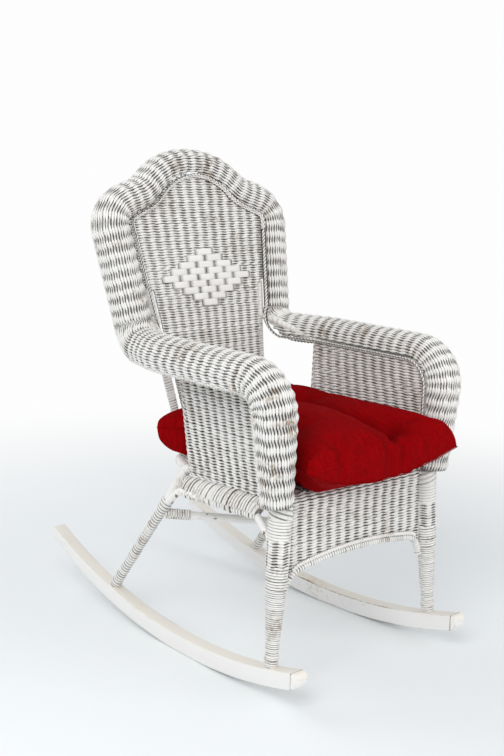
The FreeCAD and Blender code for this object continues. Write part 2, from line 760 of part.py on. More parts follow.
def bend_rows(corner, before, after, bend):
    """Points, tangents and shares round one bend of a path between two directions."""
    half = (before * -1).getAngle(after) / 2
    reach = bend / math.tan(half)
    enter = corner - before * reach
    side = (after - before * after.dot(before)).normalize()
    turn = math.pi - 2 * half
    steps = even_steps(bend * turn)
    rows = []
    for i in range(steps + 1):
        angle = turn * i / steps
        point = enter + before * (bend * math.sin(angle)) + side * (bend * (1 - math.cos(angle)))
        rows.append((point, before * math.cos(angle) + side * math.sin(angle), i / steps))
    return rows


def level_out(along):
    """Level direction away from the seat, square to a level path."""
    return Vector(along.y, -along.x, 0)


def line_rows(start, end):
    """Points and shares along a straight stretch, without its end."""
    steps = even_steps((end - start).Length)
    return [(start + (end - start) * (i / steps), i / steps) for i in range(steps)]


ARM_CORNER = Vector(ARM_FRONT[0], ARM_FRONT[1], ARM_ROLL_Z)
ARM_TURN = Vector(ARM_ELBOW[0], ARM_ELBOW[1], ARM_ROLL_Z)
ARM_ALONG = (ARM_TURN - ARM_CORNER).normalize()
ARM_IN = (ARM_BACK - ARM_TURN).normalize()
ROLL_BASE = Vector(ROLL_FOOT[0], ROLL_FOOT[1], RAIL_TOP_Z + FIT)
DROP_UP = (ARM_CORNER - ROLL_BASE).normalize()
SIDE_FOOT = back_point(side_u(SHOULDER, 0), 0, 0)
SIDE_UP = (back_point(SHOULDER[0], SHOULDER[1], 0) - SIDE_FOOT).normalize()
SIDE_OUT = SIDE_UP.cross(BACK_N)


def arm_stations():
    """Left arm's sections from its foot, over the front bend, along the arm and up into the back."""
    rows = []
    front = bend_rows(ARM_CORNER, DROP_UP, ARM_ALONG, FRONT_BEND)
    elbow = bend_rows(ARM_TURN, ARM_ALONG, ARM_IN, ELBOW_BEND)
    rear = bend_rows(ARM_BACK, ARM_IN, SIDE_UP, REAR_BEND)
    for point, share in line_rows(ROLL_BASE, front[0][0]):
        size = mix(FOOT_ROLL_RADIUS, ARM_ROLL_RADIUS, share)
        rows.append(Station(point, DROP_UP, level_out(ARM_ALONG), size, 0.0, 0.0))
    for point, tangent, share in front:
        rows.append(Station(point, tangent, level_out(ARM_ALONG), ARM_ROLL_RADIUS, 0.0, 0.0))
    for point, share in line_rows(front[-1][0], elbow[0][0])[1:]:
        rows.append(Station(point, ARM_ALONG, level_out(ARM_ALONG), ARM_ROLL_RADIUS, 0.0, 0.0))
    for point, tangent, share in elbow:
        rows.append(Station(point, tangent, level_out(tangent), ARM_ROLL_RADIUS, 0.0, 0.0))
    for point, share in line_rows(elbow[-1][0], rear[0][0])[1:]:
        rows.append(Station(point, ARM_IN, level_out(ARM_IN), ARM_ROLL_RADIUS, 0.0, 0.0))
    for point, tangent, share in rear:
        out = level_out(ARM_IN) * (1 - share) + SIDE_OUT * share
        size = mix(ARM_ROLL_RADIUS, SIDE_ROLL_RADIUS, share)
        rows.append(Station(point, tangent, out, size, ROLL_SET_BACK * share, share))
    return rows


def back_half_stations():
    """Sections from the end of the arm's rear bend, up the side and over to the apex."""
    rows = []
    low = arm_stations()[-1].centre
    high = back_point(SHOULDER[0], SHOULDER[1], -ROLL_SET_BACK)
    for point, share in line_rows(low, high):
        rows.append(Station(point, SIDE_UP, SIDE_OUT, SIDE_ROLL_RADIUS, ROLL_SET_BACK, 1.0))
    over = []
    for start, kind, size, begin, end in reversed(ogee_stretches(0.0)[0]):
        length = size if kind == "run" else size * abs(rad(end - begin))
        steps = even_steps(length)
        for i in range(steps):
            heading = mix(end, begin, i / steps)
            share = 1 - i / steps
            point = turn_point(start, kind, size * share if kind == "run" else size, begin, heading)
            over.append((point, heading))
    over.append(((0.0, ROLL_APEX_V), 0.0))
    for i, (point, heading) in enumerate(over):
        radius = mix(SIDE_ROLL_RADIUS, TOP_ROLL_RADIUS, i / (len(over) - 1))
        rows.append(arch_station(point[0], point[1], heading, radius))
    return rows


def arch_station(u, v, heading, radius):
    angle = rad(heading)
    tangent = BACK_U * -math.cos(angle) + BACK_V * math.sin(angle)
    outward = BACK_U * math.sin(angle) + BACK_V * math.cos(angle)
    return Station(back_point(u, v, -ROLL_SET_BACK), tangent, outward, radius, ROLL_SET_BACK, 1.0)


def back_stations():
    half = back_half_stations()
    other = []
    for s in reversed(half[:-1]):
        other.append(Station(flipped(s.centre), flipped(s.tangent) * -1, flipped(s.outward),
                             s.radius, ROLL_SET_BACK, 1.0))
    return half + other


def shell(stations):
    return Part.makeLoft([s.shell_wire() for s in stations], True, True)


def rod(stations, centres, radius):
    """Round rod beside the collar, square to it at every section."""
    sections = []
    for s, centre in zip(stations, centres):
        east, north = s.outward * radius, s.normal * radius
        sections.append(Part.Wire([
            Part.Arc(centre + east, centre + north, centre - east).toShape(),
            Part.Arc(centre - east, centre - north, centre + east).toShape(),
        ]))
    return Part.makeLoft(sections, True, True)


def braid(stations, slack):
    return rod(stations, [s.braid_centre() for s in stations], BRAID_RADIUS + slack)


def rim(stations):
    return rod(stations, [s.rim_centre() for s in stations], RIM_RADIUS)


# Woven back panel with its applied diamond of flat splints

def back_panel():
    low_v = BACK_PANEL_LOW_V
    edge = [s.panel_edge() for s in back_half_stations()]
    flat = [back_point(p.x, (p - BACK_ORIGIN).dot(BACK_V), 0) for p in edge]
    slope = (flat[1].x - flat[0].x) / ((flat[1] - flat[0]).dot(BACK_V))
    first_v = (flat[0] - BACK_ORIGIN).dot(BACK_V)
    foot = back_point(flat[0].x - slope * (first_v - low_v), low_v, 0)
    side = flat[2:]
    over = side + [flipped(p) for p in reversed(side[:-1])]
    arch = Part.BSplineCurve()
    arch.interpolate(over)
    outline = Part.Wire([Part.makeLine(foot, over[0]), arch.toShape(),
                         Part.makeLine(over[-1], flipped(foot)), Part.makeLine(flipped(foot), foot)])
    sheet = Part.Face(outline).extrude(BACK_N * -WEAVE)
    return sheet.cut(both_sides([arm_pole_solid(FIT), braid(arm_stations(), FIT)]))


def back_diamond():
    half_u, half_v = DIAMOND_WIDTH / 2, DIAMOND_HEIGHT / 2
    tips = [(half_u, 0), (0, half_v), (-half_u, 0), (0, -half_v)]
    points = [back_point(u, DIAMOND_V + v, FIT) for u, v in tips]
    return Part.Face(Part.makePolygon(points + points[:1])).extrude(BACK_N * DIAMOND_THICKNESS)


# Arms: a bent pole from the back hoop to the seat, with a woven panel hung inside it

def arm_x(y):
    return line_x(ARM_FRONT, ARM_ELBOW, y)


def arm_pole_point(y, z):
    return Vector(arm_x(y) - ARM_POLE_INSET, y, z)


def arm_pole_wire():
    """From the back hoop's side, forward along the arm and down to the front leg."""
    post_v = (ARM_POLE_BACK_Z - BACK_BASE_Z - HOOP_N * math.sin(LEAN)) / math.cos(LEAN)
    corner = ogee_stretches(HOOP_INSET)[1]
    post = back_point(side_u(corner, post_v) + HOOP_RADIUS, post_v, HOOP_N)
    points = [post, arm_pole_point(PANEL_REAR_TOP_Y, ARM_POLE_Z),
              arm_pole_point(ARM_POLE_FRONT_Y, ARM_POLE_Z),
              Vector(FRONT_TOP.x, FRONT_TOP.y + ARM_POLE_STAND, RAIL_TOP_Z + FIT)]
    return bent_wire(points, [ARM_POLE_ELBOW, ARM_POLE_BEND])


def arm_pole_solid(slack):
    return swept_pole(arm_pole_wire(), ARM_POLE_RADIUS + slack)


def arm_pole():
    return arm_pole_solid(0.0).cut([hoop_solid(FIT), sleeve_solid(FIT)])


def side_panel_solid(slack):
    """Thin sheet between the side rail and the arm, its rear edge leaning back."""
    shift = Vector(WEAVE / 2 + slack, 0, 0)
    front_y = PANEL_FRONT_Y - slack
    lift = RAIL_RADIUS + FIT - slack
    low = [Vector(rail_x(y), y, rail_z(y) + lift) for y in (front_y, PANEL_REAR_LOW_Y + slack)]
    top = [Vector(arm_x(y) - PANEL_INSET, y, PANEL_TOP_Z) for y in (front_y, PANEL_REAR_TOP_Y + slack)]
    wires = []
    for front, rear in (low, top):
        corners = [front - shift, front + shift, rear + shift, rear - shift]
        wires.append(Part.makePolygon(corners + corners[:1]))
    return Part.makeLoft(wires, True, True)


def side_panel():
    return side_panel_solid(0.0).cut([arm_pole_solid(FIT), sleeve_solid(FIT), braid(arm_stations(), FIT)])


# Loose seat cushion with four tuft buttons

CUSHION_LOW_Z = DECK_TOP_Z + FIT


def cushion_block(inset):
    """The cushion's rounded form, drawn in on every side by an inset."""
    ear, ear_y = CUSHION_EAR_HALF - inset, CUSHION_EAR_Y - inset
    left = [(ear, CUSHION_FRONT_Y + inset), (ear, ear_y), (CUSHION_HALF_FRONT - inset, ear_y),
            (CUSHION_HALF_REAR - inset, CUSHION_REAR_Y - inset)]
    outline = left + [(-x, y) for x, y in reversed(left)]
    points = [Vector(x, y, CUSHION_LOW_Z + inset) for x, y in outline]
    flat = Part.Face(Part.makePolygon(points + points[:1]))
    body = flat.extrude(Vector(0, 0, CUSHION_THICKNESS - 2 * inset))
    corners = [e for e in body.Edges if e.BoundBox.ZLength > 1]
    body = body.makeFillet(CUSHION_CORNER_ROUND - inset, corners)
    rims = [e for e in body.Edges if e.BoundBox.ZLength < 0.01]
    return body.makeFillet(CUSHION_EDGE_ROUND - inset, rims)


def cushion():
    return cushion_block(0.0).cut(cushion_block(CUSHION_CASE))


def cushion_tufts():
    buttons = []
    for x in (-TUFT_SPREAD_X, TUFT_SPREAD_X):
        for y in (TUFT_FRONT_Y, TUFT_REAR_Y):
            base = Vector(x, y, CUSHION_LOW_Z + CUSHION_THICKNESS + FIT)
            disc = Part.makeCylinder(TUFT_RADIUS, TUFT_HEIGHT, base)
            top = [e for e in disc.Edges if e.BoundBox.ZMin > base.z + TUFT_HEIGHT / 2]
            buttons.append(disc.makeFillet(TUFT_ROUND, top))
    return Part.makeCompound(buttons)


# Write every piece

write_pair("rocker", rocker())
write_pair("front_leg", front_leg())
write_pair("rear_leg", rear_leg())
write_pair("leg_sleeve", leg_sleeve())
write_pair("seat_side_rail", side_rail())
write_pair("side_arch", side_arch())
write_pair("arm_pole", arm_pole())
write_pair("side_panel", side_panel())
write_pair("arm_roll", shell(arm_stations()))
write_pair("arm_braid", braid(arm_stations(), 0.0))
write_pair("arm_rim", rim(arm_stations()))

nails = nail_shapes(0.0, NAIL_SET)
write("rocker_nails", Part.makeCompound(both_sides(nails)))
write("seat_front_rail", front_rail())
write("seat_rear_rail", rear_rail_solid(0.0))
write("seat_deck", seat_deck())
write("seat_slats", seat_slats())
for name, pole in zip(("stretcher_upper", "stretcher_lower"), stretchers()):
    write(name, pole)
write("joint_bindings", joint_bindings())
write("apron_arch", apron_arch())
write("apron_panel", apron_panel())
write("back_hoop", back_hoop())
write("back_panel", back_panel())
write("back_diamond", back_diamond())
write("back_roll", shell(back_stations()))
write("back_braid", braid(back_stations(), 0.0))
write("back_rim", rim(back_stations()))
write("cushion", cushion())
write("cushion_tufts", cushion_tufts())
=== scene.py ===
import math

import bpy
import numpy as np
from mathutils import Matrix, Vector


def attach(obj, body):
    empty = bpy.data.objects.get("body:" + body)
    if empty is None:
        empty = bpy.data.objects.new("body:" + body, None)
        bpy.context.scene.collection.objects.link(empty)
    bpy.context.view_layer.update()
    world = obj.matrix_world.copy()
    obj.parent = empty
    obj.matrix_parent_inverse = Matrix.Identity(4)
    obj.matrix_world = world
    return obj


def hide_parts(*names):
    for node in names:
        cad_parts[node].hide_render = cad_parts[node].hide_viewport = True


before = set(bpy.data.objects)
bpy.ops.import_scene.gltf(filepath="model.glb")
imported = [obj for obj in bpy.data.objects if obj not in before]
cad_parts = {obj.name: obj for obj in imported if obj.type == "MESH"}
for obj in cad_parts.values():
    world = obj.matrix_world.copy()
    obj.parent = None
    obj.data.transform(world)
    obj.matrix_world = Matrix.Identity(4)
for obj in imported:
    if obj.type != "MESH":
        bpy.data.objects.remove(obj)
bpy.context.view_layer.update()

# Sizes of the chair that the looks are built on, in millimetres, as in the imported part

MM = 0.001
ROCKER_LENGTH, ROCKER_RADIUS, ROCKER_LOW_Y, TREAD_FLAT = 894.0, 1260.0, -90.0, 100.0
ROCKER_HEIGHT, ROCKER_TAIL_HEIGHT, ROCKER_WIDTH = 36.0, 27.0, 35.0
FRONT_FOOT, REAR_FOOT = (239.0, -357.0), (221.0, 200.0)
FRONT_LEG_TOP, REAR_KNEE = (216.0, -345.0), (206.0, 34.0, 300.0)
REAR_LEG_TOP_Y, REAR_LEG_BEND = -2.0, 150.0
FRONT_FOOT_RADIUS, FRONT_KNEE_RADIUS = 12.5, 20.5
REAR_LEG_RADIUS, SLEEVE_RADIUS, SLEEVE_BOTTOM_Z = 12.0, 25.0, 224.0
SEAT_RAIL_Z, RAIL_RADIUS, FRONT_RAIL_Y = 386.0, 11.5, -331.0
SIDE_RAIL_AIM, SIDE_RAIL_REAR_Z = (168.0, 80.0), 362.0
REAR_RAIL_HALF, REAR_RAIL_BEND, REAR_RAIL_TAIL = 140.0, 34.0, 14.0
RAIL_TOP_Z = SEAT_RAIL_Z + RAIL_RADIUS
DECK_LOW_Z, DECK_TOP_Z = 397.8, 404.8
ARCH_RADIUS, ARCH_LEG_Z, ARCH_BEND = 8.5, 300.0, 46.0
ARCH_FRONT_RUN, ARCH_REAR_RUN = 74.0, 50.0
STRETCHER_RADIUS, STRETCHER_REAR_Z, STRETCHER_FRONT_Z, STRETCHER_DROP = 9.5, 296.0, 268.0, 19.7
BINDING_LENGTH, BINDING_SET, BINDING_THICKNESS = 26.0, 16.0, 2.4
APRON_FACE_Y, WEAVE = -352.0, 8.0
APRON_ARCH_RADIUS, APRON_ARCH_CROWN_Z, APRON_ARCH_CROWN_CURVE = 7.5, 266.0, 980.0
APRON_ARCH_HALF_CROWN, APRON_ARCH_CORNER, APRON_ARCH_LEG_ANGLE = 165.0, 46.0, 80.0
BACK_BASE_Y, BACK_BASE_Z, BACK_LEAN, BACK_FLARE = 58.0, 400.0, 14.3, 7.0
ROLL_APEX_V, DOME_RADIUS, DOME_ANGLE, VALLEY_RADIUS = 658.0, 174.0, 45.0, 90.0
SHOULDER_SLOPE, SHOULDER_RUN, SHOULDER_RADIUS = 21.0, 46.0, 58.0
HOOP_RADIUS, HOOP_INSET, HOOP_LOW_V = 9.0, 38.0, -14.0
DIAMOND_HEIGHT, DIAMOND_V = 146.0, 372.0
ARM_ROLL_Z, ARM_FRONT, ARM_ELBOW = 642.0, (250.0, -350.0), (248.0, -6.0)
ELBOW_BEND, FRONT_BEND, REAR_BEND, ROLL_FOOT = 240.0, 65.0, 60.0, (233.0, -351.0)
ROLL_WALL, ROLL_SET_BACK, ROLL_LIP_ANGLE = 7.0, 25.0, -30.0
ARM_ROLL_RADIUS, FOOT_ROLL_RADIUS, SIDE_ROLL_RADIUS, TOP_ROLL_RADIUS = 46.0, 34.0, 44.0, 36.0
BRAID_RADIUS, BRAID_REACH, ARM_BRAID_SIDE, BACK_BRAID_SIDE, RIM_RADIUS = 5.0, 8.0, 250.0, 140.0, 4.5
ARM_POLE_RADIUS, ARM_POLE_INSET, ARM_POLE_Z, ARM_POLE_BACK_Z = 8.0, 31.0, 628.0, 634.0
ARM_POLE_FRONT_Y, ARM_POLE_STAND, ARM_POLE_ELBOW, ARM_POLE_BEND = -338.0, 6.0, 160.0, 48.0
PANEL_FRONT_Y, PANEL_REAR_LOW_Y, PANEL_REAR_TOP_Y = -324.0, -38.0, -20.0
PANEL_TOP_Z, PANEL_INSET = 628.5, 44.0
FIT = 0.3

# Places that only the looks have, seen in the photograph

BACK_SPOKES, BACK_REACH = 6.6, 235.0
POST_SHOWS, POST_SHOWS_V, POST_LEAN, POST_LEAN_V = 24.0, (384.0, 366.0), 13.0, (430.0, 380.0)
POST_WOUND_V, POST_WRAP_V, POST_WRAP = 372.0, (290.0, 374.0), 4.2
DIAMOND_RISE, DIAMOND_ROWS, ARM_POLE_RISE = 19.0, 9, 50.0
PANEL_WRAP, PANEL_FORWARD, PANEL_LEAN = 18.0, 11.0, math.tan(math.radians(12.0))
BAND_LOW_Z, BAND_HIGH_Z, BAND_SPOKES, NECK_Z = 270.0, 324.0, 6, 368.0
BUNDLE_FRONT_Y, BUNDLE_REAR_Y, BUNDLE_SWELL = -284.0, -22.0, 1.6
APRON_HALF, APRON_LOW_Z, APRON_BRAID_HALF, FRONT_RAIL_HALF = 212.0, 232.0, 186.0, 188.0
DECK_HALF, DECK_FRONT_Y, DECK_REAR_Y = 215.0, -322.0, 54.0
BINDING_MORE = 14.0

# Reed sizes read from the photograph; widths and sway of a twined reed are shares of its row

SPOKE_PITCH, DECK_SPOKE_PITCH = 27.5, 30.0
ROW_PITCH, BACK_ROW_PITCH, DECK_ROW_PITCH = 6.1, 5.9, 8.0
REED_THICK, LATH_THICK = 1.5, 0.4
SPOKE_WIDE, SPOKE_THICK, SPOKE_GAP = 2.6, 1.1, 0.98
WAVE, WAVE_SHARP, WIDTH_SHARP = 2.35, 2.5, 0.8
CROSSING_WIDE, FACE_WIDE, LATH_WIDE, SWAY = 0.25, 0.55, 0.74, 0.13
CROSSING_THICK = 0.7
ROW_WANDER, ROW_BOW, ROW_BOW_LENGTH, TURN_WANDER, SWELL_WANDER = 0.2, 0.25, 37.0, 0.16, 0.05
DEPTH = WAVE + REED_THICK
# Shares of the weave's depth between which a reed goes from paint to fully dark: dirt and painted shade in the
# hollows
PALE_CREST_HEIGHT, DARKEST_HOLLOW_HEIGHT = 0.30, 0.09
STEP, FINE_STEP, REED_STEP, SPOKE_STEP = 3.0, 1.5, 4.6, 8.0
SPARE_SPOKES = 6

UP = np.array([0.0, 0.0, 1.0])
draw = np.random.default_rng(7)


# Vectors and paths

def unit(v):
    v = np.asarray(v, float)
    return v / np.linalg.norm(v, axis=-1, keepdims=True)


def mix(a, b, share):
    return a + (b - a) * share


def smooth(low, high, x):
    t = np.clip((x - low) / (high - low), 0.0, 1.0)
    return t * t * (3 - 2 * t)


def bell(high, wide, off):
    """A rounded bump of a height and a reach, at distances off its middle."""
    return high * np.exp(-(off / wide) ** 2)


def line_x(start, end, y):
    return mix(start[0], end[0], (y - start[1]) / (end[1] - start[1]))


def on_line(start, end, z):
    return start + (end - start) * ((z - start[2]) / (end[2] - start[2]))


def flip(points):
    return np.asarray(points) * (-1, 1, 1)


def whole(half):
    """A path over both sides of the chair, from a half that starts in the middle."""
    return np.vstack([flip(half[::-1]), half[1:]])


def straight(start, end, step):
    count = max(1, math.ceil(np.linalg.norm(end - start) / step))
    return [start + (end - start) * (i / count) for i in range(count)]


def bend(corner, before, after, radius, step):
    """Points and tangents round one bend between two unit directions."""
    half = math.acos(np.clip(np.dot(-before, after), -1, 1)) / 2
    enter = corner - before * (radius / math.tan(half))
    side = unit(after - before * np.dot(after, before))
    turn = math.pi - 2 * half
    count = max(2, math.ceil(radius * turn / step))
    rows = []
    for i in range(count + 1):
        a = turn * i / count
        point = enter + before * (radius * math.sin(a)) + side * (radius * (1 - math.cos(a)))
        rows.append((point, before * math.cos(a) + side * math.sin(a), i / count))
    return rows


def bent_path(corners, radii, step=STEP):
    """Polyline with its inner corners rounded, as evenly spaced points."""
    corners = [np.asarray(c, float) for c in corners]
    path, start = [], corners[0]
    for before, corner, after, radius in zip(corners, corners[1:], corners[2:], radii):
        rows = bend(corner, unit(corner - before), unit(after - corner), radius, step)
        path += straight(start, rows[0][0], step) + [r[0] for r in rows[:-1]]
        start = rows[-1][0]
    path += straight(start, corners[-1], step) + [corners[-1]]
    return np.array(path)


def run_along(path):
    """Distance of each point along a path."""
    return np.concatenate([[0], np.cumsum(np.linalg.norm(np.diff(path, axis=0), axis=1))])


def read_along(at, run, vectors):
    """Vectors of a path's points, read at other distances along it."""
    return np.stack([np.interp(at, run, vectors[:, i]) for i in range(3)], axis=-1)


def resample(path, step):
    """Evenly spaced points of a path, and their distances along it."""
    run = run_along(path)
    at = np.linspace(0, run[-1], max(2, math.ceil(run[-1] / step) + 1))
    return read_along(at, run, path), at


def tangents(path):
    return unit(np.gradient(path, axis=0))


def carried(path):
    """Normal and across of a path, carried along it with as little twist as possible."""
    tangent = tangents(path)
    first = np.cross(tangent[0], UP)
    if np.linalg.norm(first) < 0.2:
        first = np.cross(tangent[0], (0.0, 1.0, 0.0))
    normals = [unit(first)]
    for t in tangent[1:]:
        normals.append(unit(normals[-1] - t * np.dot(normals[-1], t)))
    return np.array(normals), np.cross(tangent, normals)


def ring_angles(sides):
    return 2 * math.pi * np.arange(sides) / sides


def tube(path, reach, sides):
    """Offsets of rings of points round a path; reach has a row for each point of the path."""
    normal, across = carried(path)
    angle = ring_angles(sides)
    return normal[:, None] * (reach * np.cos(angle))[..., None] - across[:, None] * (reach * np.sin(angle))[..., None]


def wander(run, span, spread):
    """Random steps at marks along a path: the marks, and a step for each."""
    marks = np.arange(0, run[-1] + 2 * span, span)
    return marks, draw.normal(0, spread, len(marks))


# Meshes

class Stock:
    """Gathers strands of one piece: points, four-cornered faces, darkening (dirt, wear and painted shade) and tone.
    """

    def __init__(self):
        self.points, self.faces, self.grime, self.tone, self.count = [], [], [], [], 0

    def add(self, points, faces, grime, tone):
        self.points.append(points)
        self.faces.append(faces + self.count)
        self.grime.append(np.broadcast_to(grime, len(points)))
        self.tone.append(np.full(len(points), tone))
        self.count += len(points)

    def rings(self, rings, grime, tone, closed=False):
        """Skin over rings of points, capped at both ends unless the strand closes on itself."""
        count, sides = rings.shape[:2]
        index = np.arange(count * sides).reshape(count, sides)
        if closed:
            index = np.vstack([index, index[:1]])
        near, far = index[:-1], index[1:]
        skin = np.stack([near, far, np.roll(far, -1, 1), np.roll(near, -1, 1)], axis=-1).reshape(-1, 4)
        faces = [skin]
        if not closed:
            fan = np.arange(1, sides - 1, 2)
            start = np.stack([np.zeros_like(fan), fan, fan + 1, (fan + 2) % sides], axis=1)
            faces += [start, (count - 1) * sides + start[:, ::-1]]
        self.add(rings.reshape(-1, 3), np.vstack(faces), np.asarray(grime).reshape(-1), tone)

    def reed(self, path, normal, wide, thick, lift, tone, sides=6, closed=False):
        """One reed along a path that lies lift outside the middle of the weave."""
        tangent = unit(np.roll(path, -1, 0) - np.roll(path, 1, 0)) if closed else tangents(path)
        across = unit(np.cross(tangent, normal))
        out = np.cross(across, tangent)
        angle = 2 * math.pi * (np.arange(sides) + 0.5) / sides
        wide = np.broadcast_to(wide, len(path))[:, None, None]
        thick = np.broadcast_to(thick, len(path))[:, None, None]
        rings = path[:, None] + across[:, None] * (wide * np.cos(angle)[:, None])
        rings = rings + out[:, None] * (thick * np.sin(angle)[:, None])
        height = np.broadcast_to(lift, len(path))[:, None] + thick[..., 0] * np.sin(angle)
        # Darker where the reed lies low in the weave: dirt and painted shade in the hollows
        self.rings(rings, smooth(PALE_CREST_HEIGHT, DARKEST_HOLLOW_HEIGHT, np.abs(height) / DEPTH), tone, closed)


def mesh_piece(name, stock, finish, nodes, body="chair", mirror=False):
    """One piece of the scene from its gathered strands, in place of the nodes that it shows."""
    points = np.vstack(stock.points)
    faces = np.vstack(stock.faces)
    if mirror:
        points = flip(points)
        faces = faces[:, ::-1]
    mesh = bpy.data.meshes.new(name)
    mesh.vertices.add(len(points))
    mesh.vertices.foreach_set("co", (points * MM).ravel())
    mesh.loops.add(faces.size)
    mesh.loops.foreach_set("vertex_index", np.ascontiguousarray(faces).ravel().astype(np.int32))
    mesh.polygons.add(len(faces))
    mesh.polygons.foreach_set("loop_start", np.arange(0, faces.size, 4, dtype=np.int32))
    mesh.polygons.foreach_set("use_smooth", np.ones(len(faces), bool))
    mesh.update(calc_edges=True)
    for label, values in (("grime", stock.grime), ("tone", stock.tone)):
        layer = mesh.attributes.new(label, "FLOAT", "POINT")
        layer.data.foreach_set("value", np.concatenate(values).astype(np.float32))
    mesh.materials.append(finish)
    piece = bpy.data.objects.new(name, mesh)
    bpy.context.scene.collection.objects.link(piece)
    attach(piece, body)
    if nodes:
        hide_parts(*nodes)
    return piece


def both(name, stock, finish, node):
    mesh_piece(name + "_left", stock, finish, [node + "_left"])
    mesh_piece(name + "_right", stock, finish, [node + "_right"], mirror=True)


# Weave: rows of reed along u, pairs of spokes along v, on a surface given by place

def runs(mask):
    """First and last index of every stretch of true values."""
    edge = np.flatnonzero(np.diff(np.concatenate([[0], mask.astype(int), [0]])))
    return [(a, b - 1) for a, b in zip(edge[::2], edge[1::2]) if b - a > 2]


def fine_steps(span):
    return np.linspace(span[0], span[1], max(8, int((span[1] - span[0]) / FINE_STEP)))


def even_spokes(pitch, shift=0.0):
    """Spokes one pitch apart: which spoke a place is on, and where a spoke stands."""
    return lambda u, v: u / pitch + shift, lambda k, v: np.full_like(v, (k - shift) * pitch)


def woven(stock, place, inside, spoke_of, spoke_line, u_range, v_range, row=ROW_PITCH, closed=False):
    """Twined weave: two reeds a row, which pass on both sides of each spoke and cross between spokes."""
    low, high = v_range
    rows = max(1, round((high - low) / row))
    row = (high - low) / rows
    fine = fine_steps(u_range)
    for j in range(rows):
        v = low + (j + 0.5) * row
        for a, b in runs(inside(fine, np.full_like(fine, v))):
            u = np.linspace(fine[a], fine[b], max(4, math.ceil((fine[b] - fine[a]) / REED_STEP)) + 1)
            u = u[:-1] if closed else u
            vs = v + draw.normal(0, ROW_WANDER) + ROW_BOW * np.sin(u / ROW_BOW_LENGTH + draw.uniform(0, 6.3))
            turn = math.pi * spoke_of(u, vs) + draw.normal(0, TURN_WANDER)
            wave = np.sign(np.cos(turn)) * np.abs(np.cos(turn)) ** WAVE_SHARP
            wide = row * mix(CROSSING_WIDE, FACE_WIDE, np.abs(wave) ** WIDTH_SHARP)
            thick = REED_THICK * mix(CROSSING_THICK, 1.0, np.abs(wave))
            for side in (-1, 1):
                point, normal = place(u, vs + side * SWAY * row * np.sin(turn))
                swell = 1 + draw.normal(0, SWELL_WANDER)
                lift = side * wave * WAVE
                stock.reed(point + normal * lift[:, None], normal, wide * swell, thick, lift, draw.uniform(),
                           closed=closed)
            # A flat lath at the middle of each row, dark because it lies low: painted shade and dirt showing in the
            # gaps between rows
            point, normal = place(u[::2], vs[::2])
            stock.reed(point, normal, row * LATH_WIDE, LATH_THICK, 0.0, draw.uniform(), sides=4, closed=closed)
    first, last = sorted(spoke_of(np.array(u_range), np.full(2, mix(low, high, 0.5))))
    fine = fine_steps(v_range)
    for k in range(math.ceil(first - SPARE_SPOKES), math.floor(last + SPARE_SPOKES) + 1):
        u = spoke_line(k, fine)
        for a, b in runs(inside(u, fine) & (u >= u_range[0]) & (u <= u_range[1])):
            v = np.linspace(fine[a], fine[b], max(2, math.ceil((fine[b] - fine[a]) / SPOKE_STEP)) + 1)
            point, normal = place(spoke_line(k, v), v)
            across = unit(np.cross(tangents(point), normal))
            for side in (-1, 1):
                shift = across * (side * SPOKE_WIDE * SPOKE_GAP)
                stock.reed(point + shift, normal, SPOKE_WIDE, SPOKE_THICK, 0.0, draw.uniform())


# Wound poles: cane laid round a pole turn by turn, or bare rattan with its knots

# TURN_HOLLOW darkens the groove between turns, dirt and painted shade; TURN_STAIN varies it from turn to turn
TURN_DRIFT, TURN_LIFT, TURN_STAIN, TURN_HOLLOW, TURNS = 0.10, 0.18, (0.4, 1.25), (0.93, 0.35), 4000


def wound(stock, path, radius, pitch=5.5, depth=1.1, sides=14, slope=1.0, pull=(0.0, 0.0, 0.0), soil=1.0):
    """Cane wound round a path; radius is the outside, one value or one per point; pull makes it oval."""
    fine, run = resample(path, pitch / 8)
    size = np.interp(run, run_along(path), np.broadcast_to(radius, len(path)))
    marks, steps = wander(run, 20, TURN_DRIFT)
    drift = np.interp(run, marks, np.cumsum(steps))
    turn = run[:, None] / pitch + drift[:, None] + slope * ring_angles(sides)[None] / (2 * math.pi)
    share = turn - np.floor(turn)
    crown = np.sqrt(np.clip(1 - (2 * share - 1) ** 2, 0, 1))
    lift = draw.normal(0, TURN_LIFT, TURNS)[np.floor(turn).astype(int) % TURNS]
    stain = draw.uniform(*TURN_STAIN, TURNS)[np.floor(turn + 0.5).astype(int) % TURNS]
    spread = tube(fine, size[:, None] - depth * (1 - crown) + lift * depth, sides)
    spread = spread + np.asarray(pull) * (spread @ unit(np.asarray(pull) + UP * 1e-9))[..., None]
    # The grooves between turns are darkened by dirt and painted shade, more or less from turn to turn
    stock.rings(fine[:, None] + spread, smooth(*TURN_HOLLOW, crown) * stain * soil, draw.uniform())


def bare_pole(stock, path, radius, sides=16, knots=170.0):
    """Smooth pole, a little uneven, with a low knot at each step along it."""
    fine, run = resample(path, 4.0)
    size = radius - 0.5 + 0.25 * np.sin(run / 31.0 + draw.uniform(0, 6)) + 0.2 * np.sin(run / 13.0)
    for knot in np.arange(draw.uniform(0.3, 0.7) * knots, run[-1], knots):
        size = size + bell(0.55, 3.2, run - knot)
    rings = fine[:, None] + tube(fine, size[:, None], sides)
    stock.rings(rings, np.zeros(len(fine) * sides), draw.uniform())


